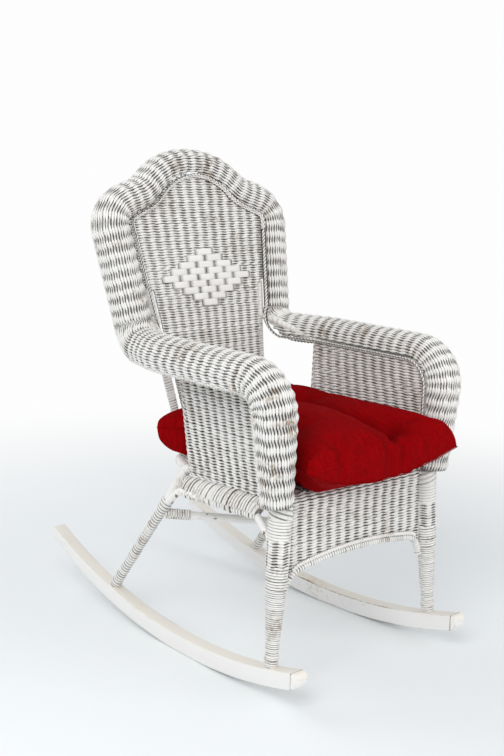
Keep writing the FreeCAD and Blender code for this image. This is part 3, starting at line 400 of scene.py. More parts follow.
def plait(stock, path, normal, reach, pitch, thick, rough=0.0, strands=3, flat=0.55):
    """Strands plaited along a path; normal points out of the braid's face."""
    fine, run = resample(path, pitch / 12)
    face = unit(read_along(run, run_along(path), normal))
    across = unit(np.cross(tangents(fine), face))
    for i in range(strands):
        stray = np.interp(run, *wander(run, 15, rough))
        phase = 2 * math.pi * (run / pitch + i / strands)
        side = np.sin(phase) * (reach - thick) + stray
        out = np.sin(2 * phase) * thick * flat
        strand = fine + across * side[:, None] + face * out[:, None]
        # Each strand's low sides come out dark: painted shade and dirt between the strands
        stock.reed(strand, face, thick, thick * 0.85, 0.6 + out, draw.uniform())


def twist(stock, path, reach, pitch, thick, strands=2, sides=7):
    """Cord of strands laid round each other."""
    fine, run = resample(path, pitch / 12)
    normal, across = carried(fine)
    for i in range(strands):
        phase = 2 * math.pi * (run / pitch + i / strands)
        arm = normal * np.cos(phase)[:, None] + across * np.sin(phase)[:, None]
        # The strands' low sides come out dark: painted shade and dirt between them
        stock.reed(fine + arm * (reach - thick), arm, thick * 1.1, thick, 0.8, draw.uniform(), sides=sides)


# Where things are: rockers, legs, rails

def circle_through(points):
    """Centre and radius of the circle through three points."""
    (ay, az), (by, bz), (cy, cz) = points
    rows = np.array([[by - ay, bz - az], [cy - ay, cz - az]])
    sums = np.array([by ** 2 - ay ** 2 + bz ** 2 - az ** 2, cy ** 2 - ay ** 2 + cz ** 2 - az ** 2]) / 2
    y, z = np.linalg.solve(rows, sums)
    return y, z, math.hypot(ay - y, az - z)


def tread_z(y):
    """Height of the tread, level over its worn flat."""
    off = np.maximum(np.abs(y - ROCKER_LOW_Y), TREAD_FLAT / 2)
    return math.sqrt(ROCKER_RADIUS ** 2 - TREAD_FLAT ** 2 / 4) - np.sqrt(ROCKER_RADIUS ** 2 - off ** 2)


HALF_ROCKER = ROCKER_LENGTH / 2
TOP_ARC = circle_through([
    (-HALF_ROCKER, tread_z(-HALF_ROCKER) + ROCKER_HEIGHT),
    (ROCKER_LOW_Y, ROCKER_HEIGHT),
    (HALF_ROCKER, tread_z(HALF_ROCKER) + ROCKER_TAIL_HEIGHT)])


def rocker_top(y):
    return TOP_ARC[1] - np.sqrt(TOP_ARC[2] ** 2 - (y - TOP_ARC[0]) ** 2)


def rail_x(y):
    return line_x(FRONT_LEG_TOP, SIDE_RAIL_AIM, y)


FRONT_SEAT = np.array([*FRONT_FOOT, rocker_top(FRONT_FOOT[1])])
REAR_SEAT = np.array([*REAR_FOOT, rocker_top(REAR_FOOT[1])])
FRONT_TOP = np.array([*FRONT_LEG_TOP, RAIL_TOP_Z])
KNEE = np.array(REAR_KNEE)
REAR_TOP = np.array([rail_x(REAR_LEG_TOP_Y), REAR_LEG_TOP_Y, SEAT_RAIL_Z])
RAIL_FRONT = np.array([*FRONT_LEG_TOP, SEAT_RAIL_Z])
RAIL_REAR = on_line(KNEE, REAR_TOP, SIDE_RAIL_REAR_Z)
REAR_RAIL_Y = BACK_BASE_Y + (WEAVE + FIT + HOOP_RADIUS) * math.cos(math.radians(BACK_LEAN))


def front_leg_at(z):
    return on_line(FRONT_SEAT, FRONT_TOP, z)


def rear_leg_at(z):
    return on_line(REAR_SEAT, KNEE, z)


def rail_z(y):
    return mix(RAIL_FRONT[2], RAIL_REAR[2], (y - RAIL_FRONT[1]) / (RAIL_REAR[1] - RAIL_FRONT[1]))


# The leaning back: u across, v up its face, n out of its front

LEAN = math.radians(BACK_LEAN)
BACK_U = np.array([1.0, 0.0, 0.0])
BACK_V = np.array([0.0, math.sin(LEAN), math.cos(LEAN)])
BACK_N = np.array([0.0, -math.cos(LEAN), math.sin(LEAN)])
BACK_ORIGIN = np.array([0.0, BACK_BASE_Y, BACK_BASE_Z])


def back_point(u, v, n):
    u, v, n = np.broadcast_arrays(np.asarray(u, float), v, n)
    return BACK_ORIGIN + u[..., None] * BACK_U + v[..., None] * BACK_V + n[..., None] * BACK_N


def ogee(inset, step=STEP):
    """Half arch from the apex outwards: rows of u, v and heading below level."""
    side = 90.0 + BACK_FLARE
    parts = [(DOME_RADIUS - inset, 0.0, DOME_ANGLE), (-(VALLEY_RADIUS + inset), DOME_ANGLE, SHOULDER_SLOPE),
             (SHOULDER_RUN, SHOULDER_SLOPE, SHOULDER_SLOPE), (SHOULDER_RADIUS - inset, SHOULDER_SLOPE, side)]
    u, v, rows = 0.0, ROLL_APEX_V - inset, []
    for size, begin, end in parts:
        a, b = math.radians(begin), math.radians(end)

        def reached(share):
            if begin == end:
                return u + size * share * math.cos(a), v - size * share * math.sin(a), begin
            t = mix(a, b, share)
            return u + size * (math.sin(t) - math.sin(a)), v - size * (math.cos(a) - math.cos(t)), math.degrees(t)

        count = max(2, math.ceil((abs(size) if begin == end else abs(size * (b - a))) / step))
        rows += [reached(i / count) for i in range(count)]
        u, v, _ = reached(1.0)
    return rows, (u, v)


def side_u(corner, v):
    """The back's side line, flaring upwards to a corner of the arch."""
    return corner[0] - (corner[1] - v) * math.tan(math.radians(BACK_FLARE))


SHOULDER = ogee(0.0)[1]
ARM_V = (ARM_ROLL_Z - BACK_BASE_Z + ROLL_SET_BACK * math.sin(LEAN)) / math.cos(LEAN)
ARM_BACK = back_point(side_u(SHOULDER, ARM_V), ARM_V, -ROLL_SET_BACK)
SIDE_UP = unit(back_point(SHOULDER[0], SHOULDER[1], 0) - back_point(side_u(SHOULDER, 0.0), 0.0, 0))
SIDE_OUT = np.cross(SIDE_UP, BACK_N)


# The rolled collar: its sections from the front foot of an arm to the top of the back

class Roll:
    """A half-round collar, given by rows of centre, tangent, outward, radius, set back and blend."""

    def __init__(self, rows):
        self.centre = np.array([r[0] for r in rows])
        tangent = unit([r[1] for r in rows])
        outward = np.array([r[2] for r in rows])
        outward = outward - tangent * np.sum(outward * tangent, axis=1, keepdims=True)
        self.out = unit(outward)
        self.up = np.cross(self.out, tangent)
        self.radius = np.array([r[3] for r in rows])
        self.start = math.pi - np.arcsin(np.array([r[4] for r in rows]) / self.radius)
        self.blend = np.array([r[5] for r in rows])
        self.lip = math.radians(ROLL_LIP_ANGLE)
        self.run = run_along(self.centre + self.up * self.radius[:, None])

    def read(self, s):
        """Centre, outward, upward, radius and the inner edge's angle at distances along the roll."""
        centre, out, up = (read_along(s, self.run, values) for values in (self.centre, self.out, self.up))
        radius, start = (np.interp(s, self.run, values) for values in (self.radius, self.start))
        return centre, unit(out), unit(up), radius, start

    def place(self, s, v):
        """v is measured round the roll from its outer lip."""
        centre, out, up, radius, _ = self.read(s)
        middle = radius - ROLL_WALL / 2
        angle = self.lip + v / middle
        normal = out * np.cos(angle)[:, None] + up * np.sin(angle)[:, None]
        return centre + normal * middle[:, None], normal

    def width(self, s):
        _, _, _, radius, start = self.read(s)
        return (start - self.lip) * (radius - ROLL_WALL / 2)

    def inside(self, s, v):
        return v <= self.width(s)

    def braid(self):
        """Path and face of the braid along the inner edge."""
        side = np.radians(mix(ARM_BRAID_SIDE, BACK_BRAID_SIDE, self.blend))
        o = self.radius * np.cos(self.start) + BRAID_REACH * np.cos(side)
        n = self.radius * np.sin(self.start) + BRAID_REACH * np.sin(side)
        face = self.out * np.cos(side)[:, None] + self.up * np.sin(side)[:, None]
        return self.centre + self.out * o[:, None] + self.up * n[:, None], face

    def rim(self):
        """Path and face of the border along the outer lip."""
        middle = self.radius - ROLL_WALL / 2
        angle = self.lip - (RIM_RADIUS + FIT) / middle
        normal = self.out * np.cos(angle)[:, None] + self.up * np.sin(angle)[:, None]
        return self.centre + normal * middle[:, None], normal


def level_out(along):
    """Outward and level, at right angles to a direction."""
    return np.array([along[1], -along[0], 0.0])


def arm_roll():
    """Collar of the left arm: up from its foot, over the front bend, round the elbow and up the back's side."""
    corner, turn = np.array([*ARM_FRONT, ARM_ROLL_Z]), np.array([*ARM_ELBOW, ARM_ROLL_Z])
    base = np.array([*ROLL_FOOT, RAIL_TOP_Z + FIT])
    along, inward, drop = unit(turn - corner), unit(ARM_BACK - turn), unit(corner - base)
    front = bend(corner, drop, along, FRONT_BEND, STEP)
    elbow = bend(turn, along, inward, ELBOW_BEND, STEP)
    rear = bend(ARM_BACK, inward, SIDE_UP, REAR_BEND, STEP)
    arm = (ARM_ROLL_RADIUS, 0.0, 0.0)
    first = straight(base, front[0][0], STEP)
    rows = [(p, drop, level_out(along), mix(FOOT_ROLL_RADIUS, ARM_ROLL_RADIUS, i / len(first)), 0.0, 0.0)
            for i, p in enumerate(first)]
    rows += [(p, t, level_out(along), *arm) for p, t, _ in front]
    rows += [(p, along, level_out(along), *arm) for p in straight(front[-1][0], elbow[0][0], STEP)[1:]]
    rows += [(p, t, level_out(t), *arm) for p, t, _ in elbow]
    rows += [(p, inward, level_out(inward), *arm) for p in straight(elbow[-1][0], rear[0][0], STEP)[1:]]
    for p, t, share in rear:
        out = level_out(inward) * (1 - share) + SIDE_OUT * share
        rows.append((p, t, out, mix(ARM_ROLL_RADIUS, SIDE_ROLL_RADIUS, share), ROLL_SET_BACK * share, share))
    return Roll(rows), rear[-1][0]


ARM_ROLL, ARM_END = arm_roll()


def back_roll():
    """Collar of the back, from the end of one arm's roll over the arch to the other."""
    high = back_point(*SHOULDER, -ROLL_SET_BACK)
    half = [(p, SIDE_UP, SIDE_OUT, SIDE_ROLL_RADIUS, ROLL_SET_BACK, 1.0) for p in straight(ARM_END, high, STEP)]
    over = [(*SHOULDER, 90.0 + BACK_FLARE)] + ogee(0.0)[0][::-1]
    for i, (u, v, heading) in enumerate(over):
        a = math.radians(heading)
        tangent = BACK_U * -math.cos(a) + BACK_V * math.sin(a)
        outward = BACK_U * math.sin(a) + BACK_V * math.cos(a)
        size = mix(SIDE_ROLL_RADIUS, TOP_ROLL_RADIUS, i / (len(over) - 1))
        half.append((back_point(u, v, -ROLL_SET_BACK), tangent, outward, size, ROLL_SET_BACK, 1.0))
    other = [(flip(c), -flip(t), flip(o), r, b, e) for c, t, o, r, b, e in half[-2::-1]]
    return Roll(half + other)


BACK_ROLL = back_roll()


# Shader sockets with arithmetic

class Shade:
    """A shader socket: sums and products of it add Math nodes."""

    def __init__(self, nodes, socket):
        self.nodes, self.socket = nodes, socket

    def math(self, operation, *values):
        return self.nodes.node("ShaderNodeMath", {"operation": operation}, dict(enumerate(values)))

    def __add__(self, other):
        return self.math("ADD", self, other)

    def __sub__(self, other):
        return self.math("SUBTRACT", self, other)

    def __rsub__(self, other):
        return self.math("SUBTRACT", other, self)

    def __mul__(self, other):
        return self.math("MULTIPLY", self, other)

    def above(self, low, high):
        """0 below low, 1 above high, smooth between."""
        settings = {"interpolation_type": "SMOOTHSTEP", "clamp": True}
        return self.nodes.node("ShaderNodeMapRange", settings, {0: self, 1: low, 2: high, 3: 0.0, 4: 1.0})

    def most(self, other):
        return self.math("MAXIMUM", self, other)

    def least(self, other):
        return self.math("MINIMUM", self, other)

    __radd__ = __add__
    __rmul__ = __mul__


class Nodes:
    """The nodes of one material, or of the world."""

    def __init__(self, owner):
        owner.use_nodes = True
        self.tree = owner.node_tree
        self.tree.nodes.clear()

    def add(self, kind, settings=None, sockets=None):
        made = self.tree.nodes.new(kind)
        for key, value in (settings or {}).items():
            setattr(made, key, value)
        for key, value in (sockets or {}).items():
            self.feed(made.inputs[key], value)
        return made

    def node(self, kind, settings=None, sockets=None, out=0):
        return Shade(self, self.add(kind, settings, sockets).outputs[out])

    def feed(self, socket, value):
        if isinstance(value, Shade):
            self.tree.links.new(value.socket, socket)
        else:
            socket.default_value = value


class Finish(Nodes):
    """One procedural material."""

    def __init__(self, name, **constants):
        self.material = bpy.data.materials.new(name)
        super().__init__(self.material)
        self.surface = self.add("ShaderNodeBsdfPrincipled", {},
                                {key.replace("_", " "): value for key, value in constants.items()})
        self.output = self.add("ShaderNodeOutputMaterial", {}, {0: Shade(self, self.surface.outputs[0])})
        self.spot = self.node("ShaderNodeTexCoord", out="Object")

    def attribute(self, name):
        return self.node("ShaderNodeAttribute", {"attribute_name": name}, out="Fac")

    def noise(self, scale, detail=3.0, rough=0.55, where=None):
        return self.node("ShaderNodeTexNoise", {}, {
            "Vector": where or self.spot, "Scale": scale, "Detail": detail, "Roughness": rough})

    def stretched(self, scale):
        """The object's coordinates, scaled along each axis."""
        return self.node("ShaderNodeMapping", {}, {"Vector": self.spot, "Scale": scale})

    def blend(self, share, low, high):
        """One colour over another by a share."""
        low = low if isinstance(low, Shade) else (*low, 1.0)
        high = high if isinstance(high, Shade) else (*high, 1.0)
        return self.node("ShaderNodeMix", {"data_type": "RGBA"}, {0: share, 6: low, 7: high}, out=2)

    def finish(self, color, rough, height=None, distance=0.001, strength=0.5):
        """Feeds the surface and gives the material back."""
        self.feed(self.surface.inputs["Base Color"], color)
        self.feed(self.surface.inputs["Roughness"], rough)
        if height is not None:
            bump = self.node("ShaderNodeBump", {}, {"Strength": strength, "Distance": distance, "Height": height})
            self.feed(self.surface.inputs["Normal"], bump)
        return self.material


PAINT, PAINT_SHADE = (0.87, 0.86, 0.835), (0.76, 0.735, 0.70)
# Dark colours of the hollows, for dirt and painted shade: the first on reed and cane, the second on the poles'
# windings
DIRT_AND_SHADE_COLOR, POLE_DIRT_AND_SHADE_COLOR = (0.040, 0.031, 0.025), (0.11, 0.085, 0.07)
WORN_REED = (0.36, 0.265, 0.185)
CHIPPED_WOOD, OLD_WOOD = (0.30, 0.2, 0.12), (0.10, 0.075, 0.055)
ROCKER_PAINT, ROCKER_CREAM, ROCKER_SCUFF = (0.84, 0.83, 0.81), (0.80, 0.755, 0.675), (0.56, 0.47, 0.36)
ROCKER_WOOD, ROCKER_DARK_WOOD = (0.36, 0.22, 0.10), (0.12, 0.08, 0.05)
NAIL_PAINT, NAIL_RUST = (0.6, 0.57, 0.52), (0.2, 0.1, 0.05)
RED_DARK, RED_LIGHT = (0.155, 0.0006, 0.0015), (0.32, 0.0010, 0.0025)
# The second colour is painted shade in the cushion's tufts, creases and folds
RED_CLOUD, RED_CREASE_SHADE = (0.20, 0.0008, 0.002), (0.05, 0.0004, 0.001)
FLOOR, FLOOR_CLOUD = (0.86, 0.885, 0.895), (0.83, 0.86, 0.87)
BACKGROUND, SKY, SKY_STRENGTH = (0.985, 0.985, 0.985, 1.0), (0.96, 0.98, 1.0, 1.0), 0.62


def painted_reed(name, worn=0.5, dirt_and_shade_strength=1.0, drip=420.0):
    """White paint over reed: dirt and painted shade in the hollows, brown where the paint has thinned."""
    f = Finish(name)
    grime = f.attribute("grime")
    tone = f.attribute("tone")
    cloud = f.noise(9.0, 4.0)
    fine = f.noise(130.0, 3.0)
    patch = f.noise(26.0, 4.0, 0.6).above(0.46, 0.64) * cloud.above(0.42, 0.60) * worn
    paint = f.blend(tone * 0.5 + fine * 0.25, PAINT, PAINT_SHADE)
    paint = f.blend(patch * fine.above(0.35, 0.65), paint, WORN_REED)
    fleck = f.noise(75.0, 3.0, 0.6).above(0.34, 0.62)
    # Share of dark in the hollows: dirt, with painted shade
    dirt_and_shade_share = (grime * (0.62 + cloud.above(0.30, 0.66) * 0.3 + fleck * 0.42) * dirt_and_shade_strength).least(0.98)
    color = f.blend(dirt_and_shade_share, paint, DIRT_AND_SHADE_COLOR)
    return f.finish(color, 0.46 + fine * 0.2 + grime * 0.15, f.noise(drip, 2.0), 0.0006, 0.35)


def bare_paint(name, chip=0.605):
    """White paint on a smooth pole, chipped to brown wood here and there."""
    f = Finish(name)
    tone = f.attribute("tone")
    cloud = f.noise(11.0, 4.0)
    fine = f.noise(150.0, 4.0, 0.6)
    speck = f.noise(46.0, 5.0, 0.65)
    chips = speck.above(chip, chip + 0.035)
    stain = cloud.above(0.45, 0.75) * 0.35
    color = f.blend(tone * 0.3 + stain, PAINT, PAINT_SHADE)
    # Windings on the poles darken in their grooves: dirt and painted shade
    color = f.blend((f.attribute("grime") * (0.4 + fine * 0.8)).least(0.9), color, POLE_DIRT_AND_SHADE_COLOR)
    color = f.blend(chips, color, f.blend(fine, CHIPPED_WOOD, OLD_WOOD))
    return f.finish(color, 0.42 + fine * 0.2 + chips * 0.2, fine * 0.3 - chips, 0.0008, 0.5)


def rocker_paint(name):
    """Cream-white paint, yellowed and worn in patches along the top edges."""
    f = Finish(name)
    # On the rockers this attribute holds only wear of the paint
    worn = f.attribute("grime")
    tone = f.attribute("tone")
    cloud = f.noise(7.0, 4.0)
    grain = f.noise(14.0, 5.0, 0.6, f.stretched((22.0, 1.0, 22.0)))
    fine = f.noise(140.0, 4.0, 0.6)
    patch = f.noise(5.0, 3.0).above(0.52, 0.64)
    rubbed = (worn * 0.75 + fine * 0.5 + grain * 0.25).above(0.94, 1.10) * patch
    edge = rubbed.most(worn.above(1.15, 1.5) * (0.25 + fine * 1.1).least(1.0))
    scuff = (cloud * 0.6 + fine * 0.4).above(0.60, 0.66)
    color = f.blend(tone * (0.55 + cloud * 0.5), ROCKER_PAINT, ROCKER_CREAM)
    color = f.blend(scuff * 0.35, color, ROCKER_SCUFF)
    color = f.blend(edge, color, f.blend(grain, ROCKER_WOOD, ROCKER_DARK_WOOD))
    return f.finish(color, 0.4 + fine * 0.2 + edge * 0.2, grain * 0.35 + fine * 0.2 - edge, 0.0008, 0.5)


def nail_paint(name):
    """Old paint on a nail's head, rusted in spots."""
    f = Finish(name, Metallic=0.0)
    rust = f.noise(220.0, 4.0).above(0.45, 0.6)
    color = f.blend(rust, NAIL_PAINT, NAIL_RUST)
    return f.finish(color, 0.45 + rust * 0.3, rust, 0.0005, 0.4)


def red_linen(name):
    """Deep red slubbed cloth: two sets of threads crossing, each thread a little different."""
    f = Finish(name, Specular_IOR_Level=0.03)
    warp = f.noise(26.0, 3.0, 0.6, f.stretched((42.0, 1.4, 1.4)))
    weft = f.noise(26.0, 3.0, 0.6, f.stretched((1.4, 42.0, 42.0)))
    thread = warp * 0.5 + weft * 0.5
    crease_shade = f.attribute("grime")
    cloud = f.noise(6.0, 3.0)
    color = f.blend(thread.above(0.36, 0.64), RED_DARK, RED_LIGHT)
    color = f.blend(cloud.above(0.4, 0.7) * 0.3, color, RED_CLOUD)
    # Darker in tufts, creases and front folds: painted shade
    color = f.blend(crease_shade * 0.55, color, RED_CREASE_SHADE)
    return f.finish(color, 0.84 + thread * 0.1, thread, 0.0016, 0.7)


REED_FINISH = painted_reed("painted_reed")
ROLL_FINISH = painted_reed("painted_roll", worn=0.9, dirt_and_shade_strength=1.05)
BRAID_FINISH = painted_reed("painted_braid", worn=0.5, dirt_and_shade_strength=1.05)
CANE_FINISH = painted_reed("wound_cane", worn=0.7, dirt_and_shade_strength=1.0)
BUNDLE_FINISH = painted_reed("wound_bundle", worn=0.8, dirt_and_shade_strength=1.05)
SPLINT_FINISH = painted_reed("flat_splint", worn=0.15, dirt_and_shade_strength=0.8)
POLE_FINISH = bare_paint("painted_pole")
ROCKER_FINISH = rocker_paint("painted_rocker")
NAIL_FINISH = nail_paint("nail_steel")
CLOTH_FINISH = red_linen("cushion_cloth")


# Collar: woven rolls with a twisted cord inside and a looped border outside

def woven_roll(roll):
    """Weave round a roll from its outer lip to its inner edge, with a whole number of spokes along it."""
    stock = Stock()
    length = roll.run[-1]
    pitch = length / round(length / SPOKE_PITCH)
    woven(stock, roll.place, roll.inside, *even_spokes(pitch, 0.5), (0.0, length), (0.0, roll.width(roll.run).max()))
    return stock


def edge_cord(roll):
    """A flat braid along the top of the back, a thin cord along the sides and the arms."""
    stock = Stock()
    path, face = roll.braid()
    # A thin flat strip under the cord, lying low so that it comes out dark: a painted shadow line along the inner
    # edge
    stock.reed(path[::3], face[::3], wide=8.5, thick=0.5, lift=0.0, tone=0.5, sides=4)
    over = path[:, 2] > back_point(0.0, SHOULDER[1], 0.0)[2] - 12.0
    for a, b in runs(over):
        plait(stock, path[a:b + 1], face[a:b + 1], reach=BRAID_RADIUS + 0.6, pitch=27.0, thick=2.0, rough=0.3)
    for a, b in runs(~over):
        twist(stock, path[a:b + 1], reach=3.6, pitch=17.0, thick=1.9)
    return stock


def looped_rim(roll):
    """A ragged border along the outer lip."""
    stock = Stock()
    plait(stock, *roll.rim(), reach=RIM_RADIUS + 1.2, pitch=27.0, thick=2.1, rough=0.6)
    return stock


both("woven_arm", woven_roll(ARM_ROLL), ROLL_FINISH, "arm_roll")
both("arm_cord", edge_cord(ARM_ROLL), BRAID_FINISH, "arm_braid")
both("arm_border", looped_rim(ARM_ROLL), BRAID_FINISH, "arm_rim")
mesh_piece("woven_back_roll", woven_roll(BACK_ROLL), ROLL_FINISH, ["back_roll"])
mesh_piece("back_cord", edge_cord(BACK_ROLL), BRAID_FINISH, ["back_braid"])
mesh_piece("back_border", looped_rim(BACK_ROLL), BRAID_FINISH, ["back_rim"])


# Back panel: rows across, spokes fanning out upwards, and the diamond of flat splints

def panel_half(v):
    """Half width of the back panel at height v, out to the roll's inner edge."""
    inner = BACK_ROLL.centre + BACK_ROLL.out * (BACK_ROLL.radius * np.cos(BACK_ROLL.start))[:, None]
    local = inner - BACK_ORIGIN
    us, vs = local @ BACK_U, local @ BACK_V
    half = len(us) // 2
    top = np.argsort(vs[:half + 1])
    wide = np.interp(v, vs[:half + 1][top], us[:half + 1][top], right=-1.0)
    low_v, low_u = vs[0], us[0]
    return np.where(v < low_v, low_u - (low_v - v) * math.tan(math.radians(BACK_FLARE)), wide)


PANEL_FOOT, PANEL_HEAD = 5.0, ROLL_APEX_V - TOP_ROLL_RADIUS * 0.62
FAN_FOOT, FAN_SPREAD = 20.0, math.tan(math.radians(BACK_FLARE)) * 0.8


def fan_half(v):
    """Half width of the fan of spokes: the panel's side line carried on up."""
    return panel_half(np.array([FAN_FOOT]))[0] + (v - FAN_FOOT) * FAN_SPREAD


def woven_back():
    """Rows across the back, held back from its lower edges where the posts show."""
    stock = Stock()

    def place(u, v):
        return back_point(u, v, -WEAVE / 2), np.broadcast_to(BACK_N, (len(u), 3))

    def inside(u, v):
        return np.abs(u) <= panel_half(v) - 1.0 - POST_SHOWS * smooth(*POST_SHOWS_V, v)

    woven(stock, place, inside, lambda u, v: u / fan_half(v) * BACK_SPOKES,
          lambda k, v: k / BACK_SPOKES * fan_half(v), (-BACK_REACH, BACK_REACH), (PANEL_FOOT, PANEL_HEAD),
          row=BACK_ROW_PITCH)
    return stock


SPLINT_PROFILE = ((-0.5, 0.0), (-0.46, 0.8), (-0.2, 1.0), (0.2, 1.0), (0.46, 0.8), (0.5, 0.0), (0.3, -0.3),
                  (-0.3, -0.3))
# Painted shade under each splint and a little along its edges
SPLINT_UNDER_SHADE = np.array([0.2, 0.0, 0.0, 0.0, 0.0, 0.2, 0.8, 0.8])
SPLINT_BOW, SPLINT_LIFT = 1.4, 0.6


def splint(stock, u, v, width, height, thick=0.9):
    """One flat splint lying on the panel, its middle bowed out; painted shade darkens its underside and its ends,
    where they tuck in.
    """
    along = np.linspace(-0.5, 0.5, 7)
    bow = SPLINT_BOW * (1 - (2 * along) ** 4) + SPLINT_LIFT
    path = back_point(u + along * width, v + draw.normal(0, 0.15), bow)
    across = np.cross(tangents(path), BACK_N)
    rings = np.stack([path + across * (a * height) + BACK_N * (b * thick) for a, b in SPLINT_PROFILE], axis=1)
    # Painted shade at the ends, where they tuck under the weave
    tuck = smooth(0.44, 0.5, np.abs(along)) * 0.8
    stock.rings(rings, np.maximum(SPLINT_UNDER_SHADE[None], tuck[:, None]), 0.3 + draw.uniform() * 0.6)


def diamond():
    """Rows of splints, each over two spokes, one more a row to the middle and one fewer after it."""
    stock = Stock()
    height, middle = DIAMOND_HEIGHT / (DIAMOND_ROWS + 1), (DIAMOND_ROWS - 1) / 2
    for j in range(DIAMOND_ROWS):
        v = DIAMOND_V + DIAMOND_RISE + (j - middle) * height
        pitch = float(fan_half(v)) / BACK_SPOKES
        reach = middle + 1 - abs(j - middle)
        for k in np.arange(-reach + 1, reach, 2):
            splint(stock, k * pitch, v, pitch * 2 - 1.0, height + 0.9)
    return stock


mesh_piece("woven_back", woven_back(), REED_FINISH, ["back_panel"])
mesh_piece("splint_diamond", diamond(), SPLINT_FINISH, ["back_diamond"])


# Side panels, apron and seat deck

def panel_share(z):
    return (z - RAIL_TOP_Z) / (PANEL_TOP_Z - RAIL_TOP_Z)


def side_place(y, z):
    """z runs from the rail's level top to the panel's top; the low edge follows the falling rail."""
    low = np.stack([rail_x(y), y, rail_z(y) + RAIL_RADIUS], axis=-1)
    top = np.stack([line_x(ARM_FRONT, ARM_ELBOW, y) - PANEL_INSET, y, np.full_like(y, PANEL_TOP_Z)], axis=-1)
    normal = unit(np.cross((0.0, 1.0, 0.0), unit(top - low)))
    return low + (top - low) * panel_share(z)[:, None], normal


def woven_side():
    """Leaning spokes, and a cord down the rear edge."""
    stock = Stock()
    front = PANEL_FRONT_Y - PANEL_FORWARD

    def rear(z):
        return PANEL_WRAP + mix(PANEL_REAR_LOW_Y, PANEL_REAR_TOP_Y, panel_share(z))

    def shift(z):
        return (z - RAIL_TOP_Z) * PANEL_LEAN

    woven(stock, side_place, lambda y, z: (y >= front) & (y <= rear(z)), lambda y, z: (y - shift(z)) / SPOKE_PITCH,
          lambda k, z: k * SPOKE_PITCH + shift(z), (front - 2, PANEL_REAR_TOP_Y + PANEL_WRAP + 10),
          (RAIL_TOP_Z + 1.0, PANEL_TOP_Z))
    z = np.linspace(RAIL_TOP_Z + 3, PANEL_TOP_Z - 2, 40)
    twist(stock, side_place(rear(z), z)[0], reach=4.0, pitch=26.0, thick=2.3)
    return stock


both("woven_side", woven_side(), REED_FINISH, "side_panel")


def apron_arch_line():
    """Half of the apron's arch, from the middle to its end at the leg, as x and z."""
    lean = math.asin(APRON_ARCH_HALF_CROWN / APRON_ARCH_CROWN_CURVE)
    steep = math.radians(APRON_ARCH_LEG_ANGLE)
    fall = APRON_ARCH_CROWN_CURVE * (1 - math.cos(lean))
    rows = [(APRON_ARCH_CROWN_CURVE * math.sin(a), APRON_ARCH_CROWN_Z - APRON_ARCH_CROWN_CURVE * (1 - math.cos(a)))
            for a in np.linspace(0, lean, 56)]
    for a in np.linspace(lean, steep, 18)[1:]:
        rows.append((APRON_ARCH_HALF_CROWN + APRON_ARCH_CORNER * (math.sin(a) - math.sin(lean)),
                     APRON_ARCH_CROWN_Z - fall - APRON_ARCH_CORNER * (math.cos(lean) - math.cos(a))))
    return np.array(rows)


ARCH_LINE = apron_arch_line()
CURL = RAIL_RADIUS + WEAVE / 2 + 1.4
APRON_Y = APRON_FACE_Y + WEAVE / 2


def apron_place(x, v):
    """Up the apron's face, then over the front rail."""
    over = np.clip((v - SEAT_RAIL_Z) / CURL, 0, math.pi / 2)
    y = np.where(v < SEAT_RAIL_Z, APRON_Y, FRONT_RAIL_Y - CURL * np.cos(over))
    z = np.where(v < SEAT_RAIL_Z, v, SEAT_RAIL_Z + CURL * np.sin(over))
    normal = np.stack([np.zeros_like(v), -np.cos(over), np.sin(over)], axis=-1)
    return np.stack([x, y, z], axis=-1), normal


def leg_x(z):
    return mix(FRONT_SEAT[0], FRONT_TOP[0], (z - FRONT_SEAT[2]) / (FRONT_TOP[2] - FRONT_SEAT[2]))


def woven_apron():
    """Upright spokes over the arch, and a braid along the low edge."""
    stock = Stock()

    def inside(x, v):
        arch = np.interp(np.abs(x), ARCH_LINE[:, 0], ARCH_LINE[:, 1], right=400.0) + APRON_ARCH_RADIUS - 1
        return (v >= arch) & (np.abs(x) <= leg_x(np.minimum(v, RAIL_TOP_Z)) - 12.0)

    woven(stock, apron_place, inside, *even_spokes(SPOKE_PITCH, 0.5), (-APRON_HALF, APRON_HALF),
          (APRON_LOW_Z, SEAT_RAIL_Z + CURL * 1.45))
    half = np.stack([ARCH_LINE[:, 0], np.full(len(ARCH_LINE), APRON_FACE_Y - 1.5), ARCH_LINE[:, 1] + 11.0], axis=1)
    path = whole(half[half[:, 0] < APRON_BRAID_HALF])
    plait(stock, path, np.broadcast_to((0.0, -1.0, 0.0), path.shape), reach=5.0, pitch=22.0, thick=2.3)
    return stock


mesh_piece("woven_apron", woven_apron(), REED_FINISH, ["apron_panel"])


def wound_apron_arch():
    """The apron's arch, carried on a little into the legs."""
    stock = Stock()
    steep = math.radians(APRON_ARCH_LEG_ANGLE)
    line = np.vstack([ARCH_LINE, ARCH_LINE[-1] + np.array([math.cos(steep), -math.sin(steep)]) * 8.0])
    half = np.stack([line[:, 0], np.full(len(line), APRON_Y), line[:, 1]], axis=1)
    wound(stock, whole(half), APRON_ARCH_RADIUS, pitch=6.5, depth=1.3)
    return stock


mesh_piece("wound_apron_arch", wound_apron_arch(), CANE_FINISH, ["apron_arch"])


def woven_deck():
    """Flat weave between the rails, narrowing behind the rear legs."""
    stock = Stock()
    middle = (DECK_LOW_Z + DECK_TOP_Z) / 2 - 0.2

    def place(x, y):
        return np.stack([x, y, np.full_like(x, middle)], axis=-1), np.broadcast_to(UP, (len(x), 3))

    def inside(x, y):
        rear = line_x(REAR_TOP, (REAR_RAIL_HALF, REAR_RAIL_Y), np.maximum(y, REAR_TOP[1]))
        return np.abs(x) <= np.minimum(rail_x(y) - 9.0, rear - 4.0)

    woven(stock, place, inside, *even_spokes(DECK_SPOKE_PITCH), (-DECK_HALF, DECK_HALF), (DECK_FRONT_Y, DECK_REAR_Y),
          row=DECK_ROW_PITCH)
    return stock


